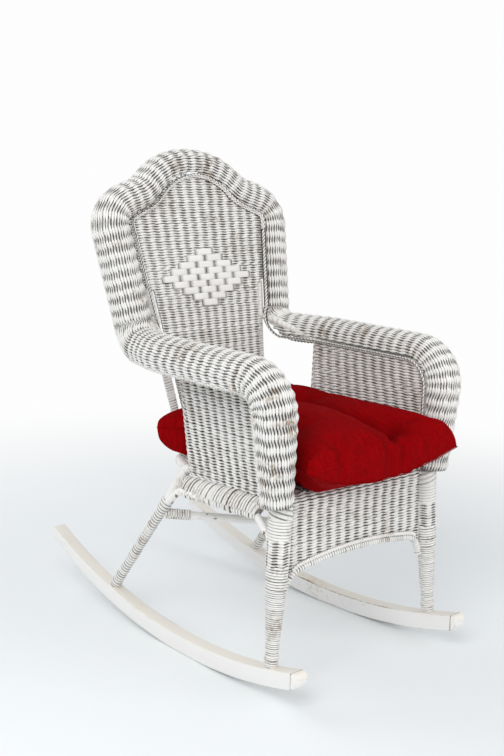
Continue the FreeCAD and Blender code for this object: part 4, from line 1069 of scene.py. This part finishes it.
mesh_piece("woven_deck", woven_deck(), REED_FINISH, ["seat_deck"])


# Legs, sleeves, rails and braces

def front_leg():
    """Tapering leg, wound from the foot to the sleeve, with two wound beads near the foot."""
    stock = Stock()
    low = FRONT_SEAT - unit(FRONT_TOP - FRONT_SEAT) * 1.0
    path, run = resample(np.array([low, front_leg_at(SLEEVE_BOTTOM_Z)]), 2.0)
    share = run / run[-1]
    size = mix(FRONT_FOOT_RADIUS, FRONT_KNEE_RADIUS, smooth(0.1, 1.0, share) * 0.4 + share * 0.6)
    wound(stock, path, size, pitch=4.4, depth=1.2, sides=16)
    for at, swell, turns in ((22.0, 3.0, 3.0), (9.0, 1.2, 2.0)):
        half = 2.6 * turns
        near = np.abs(run - at) < half
        bead = FRONT_FOOT_RADIUS + 0.6 + swell * (1 - ((run[near] - at) / half) ** 2)
        wound(stock, path[near], bead, pitch=4.8, depth=1.9, sides=16)
    return stock


def leg_sleeve():
    """Cane wound round the leg's upper part, with a woven band between the windings."""
    stock = Stock()

    def wrap(low, high, radius, **winding):
        wound(stock, np.array([front_leg_at(low), front_leg_at(high)]), radius, sides=20, **winding)

    size = SLEEVE_RADIUS - 3.4
    wrap(BAND_HIGH_Z, NECK_Z, SLEEVE_RADIUS - 0.8, pitch=6.4, depth=1.4, soil=0.6)
    wrap(NECK_Z - 2.0, RAIL_TOP_Z - 1.0, SLEEVE_RADIUS - 0.3, pitch=10.5, depth=2.4, slope=4.0)
    wrap(SLEEVE_BOTTOM_Z, BAND_LOW_Z, np.array([size, SLEEVE_RADIUS - 1.2]), pitch=6.0, depth=1.3)
    axis = unit(FRONT_TOP - FRONT_SEAT)
    east = unit(np.cross(axis, (0.0, 1.0, 0.0)))
    north = np.cross(axis, east)

    def place(u, v):
        a = u / size
        normal = east * np.cos(a)[:, None] + north * np.sin(a)[:, None]
        return np.array([front_leg_at(z) for z in v]) + normal * size, normal

    turn = 2 * math.pi * size
    woven(stock, place, lambda u, v: np.ones_like(u, bool), lambda u, v: u / turn * BAND_SPOKES,
          lambda k, v: np.full_like(v, (k % BAND_SPOKES) * turn / BAND_SPOKES + 0.01), (0.0, turn),
          (BAND_LOW_Z - 2.0, BAND_HIGH_Z + 2.0), closed=True)
    return stock


both("wound_front_leg", front_leg(), CANE_FINISH, "front_leg")
both("leg_sleeve_weave", leg_sleeve(), REED_FINISH, "leg_sleeve")


def rear_leg():
    """Wound from the foot to the joint with the arch, bare above it."""
    stock = Stock()
    path = bent_path([REAR_SEAT - unit(KNEE - REAR_SEAT) * 1.0, KNEE, REAR_TOP], [REAR_LEG_BEND])
    low = path[path[:, 2] < ARCH_LEG_Z + 12.0]
    run = run_along(low)
    bead = bell(1.6, 6.0, run - 14.0)
    neck = 2.2 * smooth(run[-1] - 34, run[-1] - 26, run)
    wound(stock, low, REAR_LEG_RADIUS + bead + neck, pitch=7.6, depth=1.4, sides=16)
    bare_pole(stock, path[path[:, 2] > ARCH_LEG_Z + 8.0], REAR_LEG_RADIUS + 0.4)
    return stock


both("wound_rear_leg", rear_leg(), CANE_FINISH, "rear_leg")


def arch_path():
    """From the front leg up to the side rail, along under it and down to the rear leg."""
    front, rear = front_leg_at(ARCH_LEG_Z), rear_leg_at(ARCH_LEG_Z)
    haunch = []
    for y in (front[1] + ARCH_FRONT_RUN, rear[1] - ARCH_REAR_RUN):
        haunch.append((line_x(front, rear, y), y, rail_z(y) - RAIL_RADIUS - ARCH_RADIUS - FIT))
    return bent_path([front, *haunch, rear], [ARCH_BEND, ARCH_BEND])


ARCH_PATH = arch_path()


def side_rail():
    """The rail, and the arch beside it, wound together into one oval bundle."""
    stock = Stock()
    along = unit(RAIL_REAR - RAIL_FRONT)

    def rail(y):
        return RAIL_FRONT + along * ((y - RAIL_FRONT[1]) / along[1])

    front = np.array([RAIL_FRONT + along * 20.0, rail(BUNDLE_FRONT_Y + 8.0)])
    wound(stock, front, RAIL_RADIUS + 0.2, pitch=7.0, depth=1.4)
    arch = ARCH_PATH[(ARCH_PATH[:, 1] > BUNDLE_FRONT_Y) & (ARCH_PATH[:, 1] < BUNDLE_REAR_Y)]
    apart = np.array([p - rail(p[1]) for p in arch])
    path = arch - apart / 2
    ends = np.minimum(smooth(0, 14, path[:, 1] - BUNDLE_FRONT_Y), smooth(0, 24, BUNDLE_REAR_Y - path[:, 1]))
    middle, size = apart[len(apart) // 2], RAIL_RADIUS + BUNDLE_SWELL
    wound(stock, path, size * mix(0.8, 1.0, ends), pitch=9.4, depth=3.2, sides=24, slope=1.5,
          pull=unit(middle) * (np.linalg.norm(middle) / 2 / size))
    rear = np.array([rail(BUNDLE_REAR_Y - 6.0), RAIL_REAR - along * 8.0])
    wound(stock, rear, RAIL_RADIUS, pitch=5.0, depth=1.4)
    return stock


both("wound_side_rail", side_rail(), BUNDLE_FINISH, "seat_side_rail")


def side_arch():
    """Front strut of the arch, and the rest of it, whose middle lies in the wound bundle."""
    stock = Stock()
    clear = np.linalg.norm(ARCH_PATH - ARCH_PATH[0], axis=1) > SLEEVE_RADIUS - 4
    clear &= np.linalg.norm(ARCH_PATH - ARCH_PATH[-1], axis=1) > REAR_LEG_RADIUS - 4
    for part in (ARCH_PATH[:, 1] < BUNDLE_FRONT_Y + 20.0, ARCH_PATH[:, 1] > BUNDLE_FRONT_Y + 16.0):
        bare_pole(stock, ARCH_PATH[clear & part], ARCH_RADIUS)
    return stock


both("side_arch_pole", side_arch(), POLE_FINISH, "side_arch")


def front_rail():
    """Wound rail under the apron's upper edge."""
    stock = Stock()
    ends = np.array([(x, FRONT_RAIL_Y, SEAT_RAIL_Z) for x in (-FRONT_RAIL_HALF, FRONT_RAIL_HALF)])
    wound(stock, ends, RAIL_RADIUS, pitch=7.0, depth=1.2)
    return stock


def rear_rail():
    """Pole behind the seat, bent forward at both ends to the rear legs."""
    corner = np.array([REAR_RAIL_HALF, REAR_RAIL_Y, SEAT_RAIL_Z])
    tip = REAR_TOP + unit(REAR_TOP - corner) * REAR_RAIL_TAIL
    stock = Stock()
    bare_pole(stock, bent_path([tip, corner, flip(corner), flip(tip)], [REAR_RAIL_BEND, REAR_RAIL_BEND]), RAIL_RADIUS)
    return stock


mesh_piece("wound_front_rail", front_rail(), CANE_FINISH, ["seat_front_rail"])
mesh_piece("rear_rail_pole", rear_rail(), POLE_FINISH, ["seat_rear_rail"])


def stretcher_line(drop):
    """From a rear leg to the front leg on the other side."""
    return rear_leg_at(STRETCHER_REAR_Z - drop), flip(front_leg_at(STRETCHER_FRONT_Z - drop))


def stretcher(drop, mirror):
    """Bare pole from leg to leg; the second one crosses it lower down."""
    rear, front = stretcher_line(drop)
    along = unit(front - rear)
    ends = np.array([rear + along * (REAR_LEG_RADIUS - 1), front - along * (SLEEVE_RADIUS - 2)])
    stock = Stock()
    bare_pole(stock, resample(flip(ends) if mirror else ends, 5.0)[0], STRETCHER_RADIUS)
    return stock


mesh_piece("stretcher_upper_pole", stretcher(0.0, False), POLE_FINISH, ["stretcher_upper"])
mesh_piece("stretcher_lower_pole", stretcher(STRETCHER_DROP, True), POLE_FINISH, ["stretcher_lower"])


def end_windings():
    """Cane round both ends of both stretchers."""
    stock = Stock()
    for drop, mirror in ((0.0, False), (STRETCHER_DROP, True)):
        rear, front = stretcher_line(drop)
        for start, end, leg in ((rear, front, REAR_LEG_RADIUS), (front, rear, SLEEVE_RADIUS)):
            along = unit(end - start)
            length = BINDING_SET + BINDING_LENGTH + BINDING_MORE
            path = np.array([start + along * leg, start + along * (leg + length)])
            wound(stock, flip(path) if mirror else path, STRETCHER_RADIUS + BINDING_THICKNESS, pitch=5.6, depth=1.7,
                  slope=1.6)
    return stock


mesh_piece("end_windings", end_windings(), CANE_FINISH, ["joint_bindings"])


# Poles of the back and the arms: the hoop behind the back, whose wound ends show, and the poles inside the arm rolls

HOOP_N = -WEAVE - HOOP_RADIUS - FIT


def hoop():
    """Arched pole behind the back, bare above; its posts are wound below, and again where the arms meet them."""
    rows, corner = ogee(HOOP_INSET)

    def post(v):
        return back_point(side_u(corner, v) - POST_LEAN * smooth(*POST_LEAN_V, v), v, HOOP_N)

    half = [back_point(u, v, HOOP_N) for u, v, _ in rows] + [back_point(*corner, HOOP_N)]
    half += [post(v) for v in np.arange(440.0, POST_WOUND_V - 1, -8.0)]
    stock = Stock()
    bare_pole(stock, whole(resample(np.array(half), 4.0)[0]), HOOP_RADIUS)
    leg = np.array([post(POST_WOUND_V + 4.0), post(HOOP_LOW_V + 16.0)])
    wrap = np.array([post(POST_WRAP_V[1]), post(POST_WRAP_V[0])])
    for side in ((1, 1, 1), (-1, 1, 1)):
        wound(stock, leg * side, HOOP_RADIUS + 1.0, pitch=6.0, depth=1.3)
        wound(stock, wrap * side, HOOP_RADIUS + POST_WRAP, pitch=9.0, depth=1.0, sides=18, soil=0.25)
    return stock


mesh_piece("back_hoop_pole", hoop(), POLE_FINISH, ["back_hoop"])


def arm_pole():
    """From the hoop's post along inside the roll, and down before the side panel to the front leg."""
    post_v = (ARM_POLE_BACK_Z - BACK_BASE_Z - HOOP_N * math.sin(LEAN)) / math.cos(LEAN)
    post = back_point(side_u(ogee(HOOP_INSET)[1], post_v) - 2.0, post_v + ARM_POLE_RISE, HOOP_N)
    level = [(line_x(ARM_FRONT, ARM_ELBOW, y) - ARM_POLE_INSET, y, ARM_POLE_Z)
             for y in (PANEL_REAR_TOP_Y, ARM_POLE_FRONT_Y)]
    foot = (FRONT_TOP[0], FRONT_TOP[1] + ARM_POLE_STAND, RAIL_TOP_Z + FIT)
    stock = Stock()
    wound(stock, bent_path([post, *level, foot], [ARM_POLE_ELBOW, ARM_POLE_BEND]), ARM_POLE_RADIUS + 0.6, pitch=13.0,
          depth=0.7, soil=0.35)
    return stock


both("arm_pole_bent", arm_pole(), CANE_FINISH, "arm_pole")


# Rockers: planks with eased edges, worn along them

ROCKER_EDGE, EDGE_POINTS, NOSE_ROUND, TAIL_EASE = 3.4, 5, 15.0, 2.4
NOSE_STEPS, TAIL_STEPS = np.array([0.0, 0.9, 2.6, 5.2, 8.8, 13.0]), np.array([2.4, 1.0, 0.0])
NOSE_END, TAIL_END, PLANK_STEPS = 17, 4, 90
BARE_Y, BARE_REACH, BARE_SIDE, BARE_WEAR = 4.0, 36.0, (-4.0, -12.0), 0.9
END_REACH, END_WEAR, CRACK_FROM_NOSE, CRACK_REACH, CRACK_WEAR = 16, 0.6, 13.0, 1.6, 1.6


def rocker_section(half, low, top):
    """Points round one section with eased edges: x, z, wear, and how far the paint has yellowed."""
    r = min(ROCKER_EDGE, (top - low) / 2 - 0.3)
    middle = mix(low + r, top - r, 0.5)
    rows = []
    for x, z, begin, flat, flat_wear, flat_cream in (
            (half - r, low + r, -90, (half, middle), 0.0, 0.0), (half - r, top - r, 0, (0.0, top), 0.0, 1.0),
            (-half + r, top - r, 90, (-half, middle), 0.0, 0.0), (-half + r, low + r, 180, (0.0, low), 0.35, 0.0)):
        for i in range(EDGE_POINTS):
            share = i / (EDGE_POINTS - 1)
            a = math.radians(begin + 90 * share)
            rows.append((x + r * math.cos(a), z + r * math.sin(a), 1.0 - abs(2 * share - 1) * 0.7,
                         smooth(0.3, 0.9, math.sin(a))))
        rows.append((*flat, flat_wear, flat_cream))
    return rows[::-1]


def rocker():
    """Plank with a rounded nose, a bare inner top edge in its middle, worn ends and a crack near the nose."""
    ys = np.concatenate([-HALF_ROCKER + NOSE_STEPS,
                         np.linspace(-HALF_ROCKER + NOSE_END, HALF_ROCKER - TAIL_END, PLANK_STEPS),
                         HALF_ROCKER - TAIL_STEPS])
    sections = []
    for y in ys:
        nose = max(0.0, NOSE_ROUND - (y + HALF_ROCKER))
        drop = NOSE_ROUND - math.sqrt(max(0.0, NOSE_ROUND ** 2 - nose ** 2))
        ease = max(0.0, TAIL_EASE - (HALF_ROCKER - y)) * 0.6
        sections.append(rocker_section(ROCKER_WIDTH / 2 - ease, float(tread_z(y)) + drop + ease,
                                       float(rocker_top(y)) - drop - ease))
    x, z, worn, cream = np.moveaxis(np.array(sections), -1, 0)
    turn = math.atan2(FRONT_FOOT[0] - REAR_FOOT[0], REAR_FOOT[1] - FRONT_FOOT[1])
    along = ys[:, None]
    rings = np.stack([x * math.cos(turn) - along * math.sin(turn) + line_x(FRONT_FOOT, REAR_FOOT, 0.0),
                      x * math.sin(turn) + along * math.cos(turn), z], axis=-1)
    off = rings[0, :, 0] - rings[0, :, 0].mean()
    bare = np.exp(-((along - BARE_Y) / BARE_REACH) ** 4) * cream * smooth(*BARE_SIDE, off)
    ends = np.maximum(smooth(END_REACH, 0, ys + HALF_ROCKER), smooth(END_REACH, 0, HALF_ROCKER - ys))
    crack = bell(CRACK_WEAR, CRACK_REACH, ys + HALF_ROCKER - CRACK_FROM_NOSE)
    stock = Stock()
    stock.rings(rings, np.maximum(worn + bare * BARE_WEAR, np.maximum(ends * END_WEAR, crack)[:, None]), 0.0)
    stock.tone[-1] = cream.ravel()
    return stock


both("rocker_plank", rocker(), ROCKER_FINISH, "rocker")


# CAD pieces that keep their own shape

for node, finish in (("seat_slats", POLE_FINISH), ("rocker_nails", NAIL_FINISH)):
    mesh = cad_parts[node].data
    mesh.materials.clear()
    mesh.materials.append(finish)


# Cushion: a stuffed case, tufted in four places and swollen as cloth
# A tuft has depths and reaches, a crease its corners, depth and reach, a front fold its x, depth and reach;
# the half widths and the front edge are places and then the values at them

TUFTS = [(-160.0, -262.0), (-96.0, -96.0), (66.0, -368.0), (66.0, -102.0)]
TUFT_HOLE, TUFT_DISH, TUFT_HELD = (32.0, 20.0), (13.0, 60.0), 8.0
CREASES = [([(84, 40), (66, -102), (40, -212), (44, -290), (66, -368), (16, -440)], 32.0, 17.0),
           ([(-88, 40), (-96, -96), (-140, -190), (-160, -262)], 24.0, 17.0),
           ([(-160, -80), (-96, -96)], 13.0, 17.0),
           ([(66, -368), (120, -376)], 14.0, 12.0),
           ([(66, -368), (78, -400), (62, -440)], 15.0, 8.0)]
CUSHION_BASE, CUSHION_SEAM, CUSHION_CREST = DECK_TOP_Z + 1.5, 470.0, 521.0
CUSHION_Y, CUSHION_FRONT_STOP, CUSHION_LIES_Y = (-430.0, 62.0), -440.0, -345.0
CUSHION_HALF = ((-430.0, -402.0, -392.0, -200.0, 0.0, 30.0, 58.0), (204.0, 206.0, 184.0, 174.0, 167.0, 180.0, 192.0))
ROOM_HALF = ((-399.0, -394.0, -200.0, 0.0, 10.0, 40.0), (224.0, 186.0, 184.0, 176.0, 178.0, 198.0))
FRONT_EDGE = ((-204.0, -173.0, -114.0, -41.0, 49.0, 145.0, 204.0), (474.0, 456.0, 443.0, 436.0, 438.0, 456.0, 474.0))
FRONT_FOLDS = ((-124.0, 15.0, 7.5), (8.0, 15.0, 7.5), (54.0, 11.0, 7.5), (-64.0, 3.0, 18.0), (124.0, 4.0, 14.0))
FOLD_LEAN, FOLD_LEVEL, CREASE_FRONT, CREASE_REAR = 0.25, 490.0, (-428.0, -380.0), (60.0, 0.0)
OVERHANG_Y = (-335.0, -436.0)
REAR_CORNERS, REAR_SEAM_RISE, REAR_RISE, LEFT_RISE, RIGHT_FALL, MIDDLE_RISE = 14.0, 8.0, 10.0, 24.0, 10.0, 5.0
EDGE_SQUARE, EDGE_ROUND, TUCK_SHADE, FOLD_SHADE = 10, 0.32, 46.0, 24.0
BACK_GAP, CORNER_X, CORNER_ROOM, UNDER_SAG = 6.0, 172.0, 24.0, 5.0
SWELL_FRAMES, SWELL_CAP = 20, 22.0
CASE_CLOTH = {"quality": 6, "mass": 0.3, "tension_stiffness": 12.0, "compression_stiffness": 12.0,
              "shear_stiffness": 4.0, "bending_stiffness": 0.3, "use_pressure": True, "uniform_pressure_force": 4.0,
              "shrink_min": -0.045, "vertex_group_mass": "held"}


def line_distance(x, y, corners):
    """Distance of points from a line with corners, in plan."""
    best = np.full_like(x, 1e9)
    for (ax, ay), (bx, by) in zip(corners, corners[1:]):
        t = np.clip(((x - ax) * (bx - ax) + (y - ay) * (by - ay)) / ((bx - ax) ** 2 + (by - ay) ** 2), 0, 1)
        best = np.minimum(best, np.hypot(x - mix(ax, bx, t), y - mix(ay, by, t)))
    return best


def tucked(x, y):
    """Depth of the tufts and of the creases from tuft to tuft."""
    depth = np.zeros_like(x)
    for tx, ty in TUFTS:
        r = np.hypot(x - tx, y - ty)
        depth = np.maximum(depth, bell(*TUFT_HOLE, r) + bell(*TUFT_DISH, r))
    for corners, deep, wide in CREASES:
        depth = np.maximum(depth, bell(deep, wide, line_distance(x, y, corners)))
    return depth * smooth(*CREASE_FRONT, y) * smooth(*CREASE_REAR, y)


def under_edge(x, y):
    """Height of the underside: flat on the seat, rising to the front seam where it hangs over the apron."""
    return mix(CUSHION_BASE, np.interp(x, *FRONT_EDGE), smooth(*OVERHANG_Y, y))


def cushion_points(columns=73, rows=81):
    """Top and bottom sheets as grids of points, and how deep each point is tucked or folded."""
    s, t = np.linspace(-1, 1, columns), np.linspace(-1, 1, rows)
    s, t = mix(s, np.sin(s * math.pi / 2), 0.6), mix(t, np.sin(t * math.pi / 2), 0.6)
    a, b = np.meshgrid(s, t)
    y = mix(*CUSHION_Y, (b + 1) / 2)
    x = a * np.interp(y, *CUSHION_HALF)
    y = y + REAR_CORNERS * smooth(0.7, 1.0, np.abs(a)) * smooth(0.6, 1.0, b)
    full = ((1 - a ** EDGE_SQUARE) * (1 - b ** EDGE_SQUARE)) ** EDGE_ROUND
    rear = smooth(-0.3, 0.8, b)
    seam = mix(CUSHION_SEAM + REAR_SEAM_RISE * rear, np.interp(x, *FRONT_EDGE), smooth(-0.5, -1.0, b))
    crest = CUSHION_CREST + LEFT_RISE * smooth(0.25, 0.85, a) + REAR_RISE * rear - RIGHT_FALL * np.maximum(-a, 0) ** 3
    crest = crest + bell(MIDDLE_RISE, 60.0, x + 30.0)
    depth = tucked(x, y) * smooth(0.3, 0.8, full)
    top = seam + (crest - seam) * full - depth
    tuck = mix(full, smooth(1.0, 0.66, np.abs(a)), smooth(0.3, -0.3, b))
    low = seam - (seam - under_edge(x, y)) * tuck
    sheets = []
    for z in (top, low):
        pinch = sum(bell(deep, wide, x - at - FOLD_LEAN * (z - FOLD_LEVEL)) for at, deep, wide in FRONT_FOLDS)
        pinch = pinch * smooth(-0.66, -0.9, b) * full
        sheets.append(np.stack([x, y + pinch, z], axis=-1))
    # The last grid is painted shade, darker the deeper a point lies in a tuft, crease or front fold
    return *sheets, np.maximum(depth / TUCK_SHADE, pinch / FOLD_SHADE)


def quads(grid):
    """Four-cornered faces between the points of a grid."""
    return np.stack([grid[:-1, :-1], grid[:-1, 1:], grid[1:, 1:], grid[1:, :-1]], axis=-1).reshape(-1, 4)


def cushion_mesh():
    """Both sheets joined along their edge: points, faces, shade, and the edge's points in order."""
    top, low, depth = cushion_points()
    rows, columns = depth.shape
    upper = np.arange(rows * columns).reshape(rows, columns)
    lower = upper.copy()
    inner = (rows - 2) * (columns - 2)
    lower[1:-1, 1:-1] = rows * columns + np.arange(inner).reshape(rows - 2, columns - 2)
    points = np.vstack([top.reshape(-1, 3), low[1:-1, 1:-1].reshape(-1, 3)])
    faces = np.vstack([quads(upper), quads(lower)[:, ::-1]])
    shade = np.concatenate([depth.ravel(), np.zeros(inner)])
    edge = np.concatenate([upper[0], upper[1:, -1], upper[-1, -2::-1], upper[-2:0:-1, 0]])
    return points, faces, shade, edge


def swollen(piece, points, held):
    """Points of the case after some frames of pressure, held at its tufts and where it lies on the seat."""
    group = piece.vertex_groups.new(name="held")
    group.add([int(i) for i in np.flatnonzero(held)], 1.0, "REPLACE")
    cloth = piece.modifiers.new("swell", "CLOTH")
    for key, value in CASE_CLOTH.items():
        setattr(cloth.settings, key, value)
    cloth.settings.effector_weights.gravity = 0.0
    for f in range(1, SWELL_FRAMES + 1):
        bpy.context.scene.frame_set(f)
    shaped = piece.evaluated_get(bpy.context.evaluated_depsgraph_get()).data
    moved = np.empty(len(points) * 3)
    shaped.vertices.foreach_get("co", moved)
    bpy.context.scene.frame_set(1)
    piece.modifiers.remove(cloth)
    piece.vertex_groups.clear()
    shift = moved.reshape(-1, 3) / MM - points
    far = np.linalg.norm(shift, axis=1, keepdims=True)
    return points + shift * np.minimum(1.0, SWELL_CAP / np.maximum(far, 1e-6))


def kept_clear(points):
    """The case stays on the seat, between the arms and before the back."""
    x, y, z = points.T
    half = np.interp(y, *ROOM_HALF)
    x = np.clip(x, -half, half)
    z = np.maximum(z, np.maximum(CUSHION_BASE, under_edge(x, y) - UNDER_SAG))
    back = BACK_BASE_Y + (z - BACK_BASE_Z) * math.tan(LEAN) - BACK_GAP
    y = np.where(np.abs(x) < CORNER_X, np.minimum(y, back), np.minimum(y, back + CORNER_ROOM))
    return np.stack([x, np.maximum(y, CUSHION_FRONT_STOP), z], axis=1)


def seam_cord(path):
    stock = Stock()
    outward = unit(path - path.mean(axis=0))
    stock.reed(path + outward * 0.1, outward, wide=0.9, thick=0.9, lift=4.0, tone=0.0, closed=True)
    return stock


def tuft_ties(points):
    """Three loose ends of cord, and a small ring of it, at each tuft."""
    stock = Stock()
    upper = points[points[:, 2] > CUSHION_SEAM - 20.0]
    t = np.linspace(0, 1, 9)[:, None]
    ring = ring_angles(12)
    for tx, ty in TUFTS:
        near = upper[np.argmin(np.hypot(upper[:, 0] - tx, upper[:, 1] - ty))]
        for turn in draw.uniform(0, 2 * math.pi, 3):
            out = np.array([math.cos(turn), math.sin(turn), 0.0])
            path = near + out * (13.0 * t) + UP * (2.0 + 9.0 * t * (1.2 - t))
            # The ties and their rings come out darker red on their low sides: painted shade
            stock.reed(path, np.broadcast_to(UP, path.shape), wide=1.0, thick=1.0, lift=0.5, tone=0.0)
        loop = near + np.stack([4.2 * np.cos(ring), 4.2 * np.sin(ring), np.full(len(ring), 2.6)], axis=1)
        stock.reed(loop, np.broadcast_to(UP, loop.shape), wide=1.9, thick=1.9, lift=0.8, tone=0.0, closed=True)
    return stock


def cushion():
    """The case, swollen, with its seam and its tufts' ties."""
    points, faces, shade, edge = cushion_mesh()
    stock = Stock()
    # The top sheet's tuft, crease and fold depths go in as painted shade; the bottom sheet gets none
    stock.add(points, faces, shade, 0.0)
    piece = mesh_piece("seat_cushion", stock, CLOTH_FINISH, ["cushion"], body="cushion")
    x, y, z = points.T
    held = (z < CUSHION_BASE + 0.5) & (y > CUSHION_LIES_Y)
    for tx, ty in TUFTS:
        held |= np.hypot(x - tx, y - ty) < TUFT_HELD
    points = swollen(piece, points, held)
    points = kept_clear(points)
    piece.data.vertices.foreach_set("co", (points * MM).ravel())
    piece.data.update()
    rounding = piece.modifiers.new("rounding", "SUBSURF")
    rounding.levels = rounding.render_levels = 1
    mesh_piece("cushion_seam", seam_cord(points[edge]), CLOTH_FINISH, [], body="cushion")
    mesh_piece("tuft_ties", tuft_ties(points), CLOTH_FINISH, ["cushion_tufts"], body="cushion")


cushion()


# Floor, light and camera

FLOOR_HALF, FLOOR_DROP, FLOOR_FADE = 9, 0.0005, (0.75, 2.3)


def pale_floor():
    """Pale floor that keeps the chair's shadow and passes into the white behind it."""
    f = Finish("pale_floor")
    cloud = f.noise(0.9, 3.0)
    color = f.blend(cloud.above(0.3, 0.7) * 0.5, FLOOR, FLOOR_CLOUD)
    f.finish(color, 0.55 + cloud * 0.1)
    far = f.node("ShaderNodeVectorMath", {"operation": "LENGTH"}, {0: f.spot}, out="Value").above(*FLOOR_FADE)
    seen = f.node("ShaderNodeLightPath", out="Is Camera Ray")
    glow = f.node("ShaderNodeEmission", {}, {"Color": BACKGROUND})
    both_ways = f.node("ShaderNodeMixShader", {}, {0: far * seen, 1: Shade(f, f.surface.outputs[0]), 2: glow})
    f.feed(f.output.inputs[0], both_ways)
    mesh = bpy.data.meshes.new("floor")
    corners = [(-FLOOR_HALF, -FLOOR_HALF, 0), (FLOOR_HALF, -FLOOR_HALF, 0), (FLOOR_HALF, FLOOR_HALF, 0),
               (-FLOOR_HALF, FLOOR_HALF, 0)]
    mesh.from_pydata(corners, [], [(0, 1, 2, 3)])
    mesh.materials.append(f.material)
    floor = bpy.data.objects.new("floor", mesh)
    floor.location.z = -FLOOR_DROP
    bpy.context.scene.collection.objects.link(floor)


def soft_lamp(name, place, aim, size, watts):
    data = bpy.data.lights.new(name, "AREA")
    data.shape = "RECTANGLE"
    data.size, data.size_y = size
    data.energy = watts
    lamp = bpy.data.objects.new(name, data)
    lamp.location = place
    lamp.rotation_euler = (Vector(aim) - Vector(place)).to_track_quat("-Z", "Y").to_euler()
    bpy.context.scene.collection.objects.link(lamp)


def studio():
    """Dim even sky, white where the camera sees it, and three soft lamps."""
    world = bpy.data.worlds.new("studio")
    bpy.context.scene.world = world
    sky = Nodes(world)
    dim = sky.node("ShaderNodeBackground", {}, {0: SKY, 1: SKY_STRENGTH})
    white = sky.node("ShaderNodeBackground", {}, {0: BACKGROUND, 1: 1.0})
    seen = sky.node("ShaderNodeLightPath", out="Is Camera Ray")
    sky.add("ShaderNodeOutputWorld", {}, {0: sky.node("ShaderNodeMixShader", {}, {0: seen, 1: dim, 2: white})})
    soft_lamp("window_key", (-2.6, -1.6, 2.6), (0, -0.1, 0.5), (2.2, 2.2), 60.0)
    soft_lamp("front_fill", (1.2, -3.2, 1.8), (0, 0, 0.5), (2.4, 2.0), 36.0)
    soft_lamp("back_wash", (-0.8, 2.6, 2.4), (0, 0, 0.6), (2.4, 1.6), 26.0)


CAMERA_SPOT = (-1.84793, -2.05189, 1.11656)
CAMERA_YAW, CAMERA_PITCH, CAMERA_ROLL = 42.15, 11.26, -1.72
FOCAL_PIXELS, LONG_SIDE, SENSOR = 1250.1, 756.0, 36.0


def camera():
    """The photograph's camera, as fitted to the chair's pairs of points."""
    yaw, pitch, roll = (math.radians(a) for a in (CAMERA_YAW, CAMERA_PITCH, CAMERA_ROLL))
    forward = np.array([math.sin(yaw) * math.cos(pitch), math.cos(yaw) * math.cos(pitch), -math.sin(pitch)])
    right = np.array([math.cos(yaw), -math.sin(yaw), 0.0])
    down = np.cross(forward, right)
    x_axis = math.cos(roll) * right + math.sin(roll) * down
    y_axis = math.sin(roll) * right - math.cos(roll) * down
    data = bpy.data.cameras.new("camera")
    data.sensor_width = SENSOR
    data.lens = FOCAL_PIXELS / LONG_SIDE * SENSOR
    data.clip_end = 60.0
    shot = bpy.data.objects.new("camera", data)
    turn = Matrix([x_axis, y_axis, -forward]).transposed().to_4x4()
    shot.matrix_world = Matrix.Translation(CAMERA_SPOT) @ turn
    bpy.context.scene.collection.objects.link(shot)
    bpy.context.scene.camera = shot


pale_floor()
studio()
camera()
bpy.context.scene.view_settings.view_transform = "Standard"
